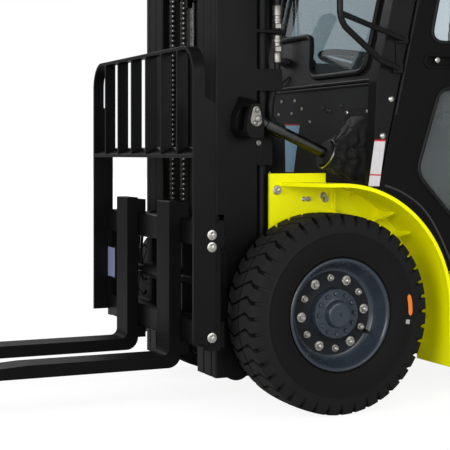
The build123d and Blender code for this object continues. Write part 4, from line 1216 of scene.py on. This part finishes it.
# Nodes that differ from the others of their slot
NODE_FINISHES = {
    "fork_left": "fork_black_paint", "fork_right": "fork_black_paint", "door_left_frame": "door_black_paint",
    # The tilt rods and the free-lift piston take chrome darkened as a painted dark reflection.
    "door_right_frame": "door_black_paint", "tilt_rods": "worn_tilt_rod", "free_lift_piston": "worn_tilt_rod",
    "steer_rod": "axle_black_paint", "cab_glass": "cab_glass_tint", "front_panel": "panel_satin_paint",
}


class FORKLIFT_OT_finishes(bpy.types.Operator):
    """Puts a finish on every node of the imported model"""
    bl_idname = "forklift.finishes"
    bl_label = "Node finishes"

    def execute(self, context):
        slots = {row["node"]: row["material_slot"] for row in frame["record"]["subparts"]}
        for name, obj in frame["nodes"].items():
            mat = look(NODE_FINISHES.get(name) or SLOT_FINISHES[slots[name]])
            if not obj.material_slots:
                obj.data.materials.append(mat)
            for holder in obj.material_slots:
                holder.material = mat
        return {"FINISHED"}


# Stage, in metres

WHITE = (1.0, 1.0, 1.0, 1.0)
FLOOR_REACH = 40.0
# Name, place, target, size and power in watts
LAMPS = (
    ("key_lamp", (5.4, 3.6, 2.4), (0.3, 0.4, 0.7), (3.0, 3.0), 205.0),
    ("side_lamp", (-0.6, 6.2, 2.6), (0.1, 0.4, 0.7), (4.0, 3.0), 96.0),
    ("fill_lamp", (2.2, 5.4, 1.3), (0.1, 0.3, 0.8), (2.2, 2.2), 48.0),
    ("far_lamp", (1.0, -5.5, 4.5), (0.0, 0.0, 0.8), (4.0, 3.0), 110.0),
)


def soft_lamp(name, place, target, size, power):
    """A rectangular lamp that faces its target."""
    data = bpy.data.lights.new(name, "AREA")
    data.shape = "RECTANGLE"
    data.size, data.size_y = size
    data.energy = power
    lamp = bpy.data.objects.new(name, data)
    lamp.location = place
    lamp.rotation_euler = (Vector(target) - Vector(place)).to_track_quat("-Z", "Y").to_euler()
    bpy.context.scene.collection.objects.link(lamp)


def mix_shaders(tree, share, first, second, output):
    """Leads a mix of two shaders to the output."""
    mix = tree.nodes.new("ShaderNodeMixShader")
    tree.links.new(share, mix.inputs[0])
    tree.links.new(first.outputs[0], mix.inputs[1])
    tree.links.new(second.outputs[0], mix.inputs[2])
    tree.links.new(mix.outputs[0], tree.nodes[output].inputs["Surface"])


def join(tree, operation, first, second):
    """A math node between two sockets."""
    node = tree.nodes.new("ShaderNodeMath")
    node.operation = operation
    tree.links.new(first, node.inputs[0])
    tree.links.new(second, node.inputs[1])
    return node.outputs[0]


def studio_world():
    """White for the camera and through glass, and a plain soft level for the light."""
    world = bpy.data.worlds.new("studio_world")
    world.use_nodes = True
    tree = world.node_tree
    sky = tree.nodes["Background"]
    sky.inputs["Color"].default_value = WHITE
    sky.inputs["Strength"].default_value = 0.32
    seen = add_node(tree, "ShaderNodeBackground", Color=WHITE, Strength=1.0)
    path = tree.nodes.new("ShaderNodeLightPath")
    share = join(tree, "MAXIMUM", path.outputs["Is Camera Ray"], path.outputs["Is Transmission Ray"])
    mix_shaders(tree, share, sky, seen, "World Output")
    bpy.context.scene.world = world


def pale_floor():
    """A large plain floor that shows almost white and keeps a soft shadow."""
    mesh = bpy.data.meshes.new("studio_floor")
    corners = [(x * FLOOR_REACH, y * FLOOR_REACH, 0) for x, y in ((-1, -1), (1, -1), (1, 1), (-1, 1))]
    mesh.from_pydata(corners, [], [(0, 1, 2, 3)])
    mat = bpy.data.materials.new("pale_floor")
    mat.use_nodes = True
    tree = mat.node_tree
    body = tree.nodes["Principled BSDF"]
    body.inputs["Base Color"].default_value = (0.86, 0.86, 0.86, 1.0)
    body.inputs["Roughness"].default_value = 0.9
    body.inputs["Specular IOR Level"].default_value = 0.0
    glow = add_node(tree, "ShaderNodeEmission", Strength=1.2)
    shrink = object_node(tree, "ShaderNodeMapping", Scale=(0.22, 0.22, 0.22))
    near = tree.nodes.new("ShaderNodeTexGradient")
    near.gradient_type = "SPHERICAL"
    tree.links.new(shrink.outputs["Vector"], near.inputs["Vector"])
    span = add_node(tree, "ShaderNodeMapRange", From_Max=0.5, To_Min=1.0, To_Max=0.74)
    tree.links.new(near.outputs["Fac"], span.inputs["Value"])
    path = tree.nodes.new("ShaderNodeLightPath")
    share = join(tree, "MULTIPLY", path.outputs["Is Camera Ray"], span.outputs["Result"])
    mix_shaders(tree, share, body, glow, "Material Output")
    mesh.materials.append(mat)
    floor = bpy.data.objects.new("studio_floor", mesh)
    bpy.context.scene.collection.objects.link(floor)


class FORKLIFT_OT_stage(bpy.types.Operator):
    """Camera at the photograph's place, pale floor and soft studio light"""
    bl_idname = "forklift.stage"
    bl_label = "Stage"

    def execute(self, context):
        scene = context.scene
        data = bpy.data.cameras.new("photo_camera")
        data.sensor_width = 36.0
        data.lens = 98.6
        data.shift_y = -0.1586
        data.clip_end = 200.0
        camera = bpy.data.objects.new("photo_camera", data)
        camera.location = (2.4307, 4.3843, 0.9222)
        camera.rotation_euler = (math.radians(90.0), 0.0, math.radians(155.99))
        scene.collection.objects.link(camera)
        scene.camera = camera
        scene.view_settings.view_transform = "Standard"
        studio_world()
        pale_floor()
        for lamp in LAMPS:
            soft_lamp(*lamp)
        return {"FINISHED"}


# Add-on

OPERATORS = (FORKLIFT_OT_stage, FORKLIFT_OT_finishes, FORKLIFT_OT_tyres, FORKLIFT_OT_rims, FORKLIFT_OT_boots,
             FORKLIFT_OT_chains, FORKLIFT_OT_hose_fittings, FORKLIFT_OT_seals, FORKLIFT_OT_wiper,
             FORKLIFT_OT_labels, FORKLIFT_OT_lenses, FORKLIFT_OT_fasteners, FORKLIFT_OT_seat)


class FORKLIFT_PT_dressing(bpy.types.Panel):
    """Lists the forklift's pieces in the sidebar"""
    bl_idname = "FORKLIFT_PT_dressing"
    bl_label = "Forklift"
    bl_space_type = "VIEW_3D"
    bl_region_type = "UI"
    bl_category = "Forklift"

    def draw(self, context):
        layout = self.layout
        for group in (sizes(), trims(), colours()):
            for key in group.bl_rna.properties.keys():
                if key not in ("rna_type", "name"):
                    layout.prop(group, key)
        for kind in OPERATORS:
            layout.operator(kind.bl_idname)


CLASSES = (WheelSizes, TrimSizes, PaintColours) + OPERATORS + (FORKLIFT_PT_dressing,)


def register():
    for kind in CLASSES:
        bpy.utils.register_class(kind)
    bpy.types.Scene.forklift_wheels = PointerProperty(type=WheelSizes)
    bpy.types.Scene.forklift_trims = PointerProperty(type=TrimSizes)
    bpy.types.Scene.forklift_colours = PointerProperty(type=PaintColours)


def unregister():
    del bpy.types.Scene.forklift_wheels
    del bpy.types.Scene.forklift_trims
    del bpy.types.Scene.forklift_colours
    for kind in reversed(CLASSES):
        bpy.utils.unregister_class(kind)


def main():
    register()
    bpy.ops.forklift.stage()
    bpy.ops.forklift.finishes()
    bpy.ops.forklift.tyres()
    bpy.ops.forklift.rims()
    bpy.ops.forklift.boots()
    bpy.ops.forklift.chains()
    bpy.ops.forklift.hose_fittings()
    bpy.ops.forklift.seals()
    bpy.ops.forklift.wiper()
    bpy.ops.forklift.labels()
    bpy.ops.forklift.lenses()
    bpy.ops.forklift.fasteners()
    bpy.ops.forklift.seat()


if __name__ == "__main__":
    main()
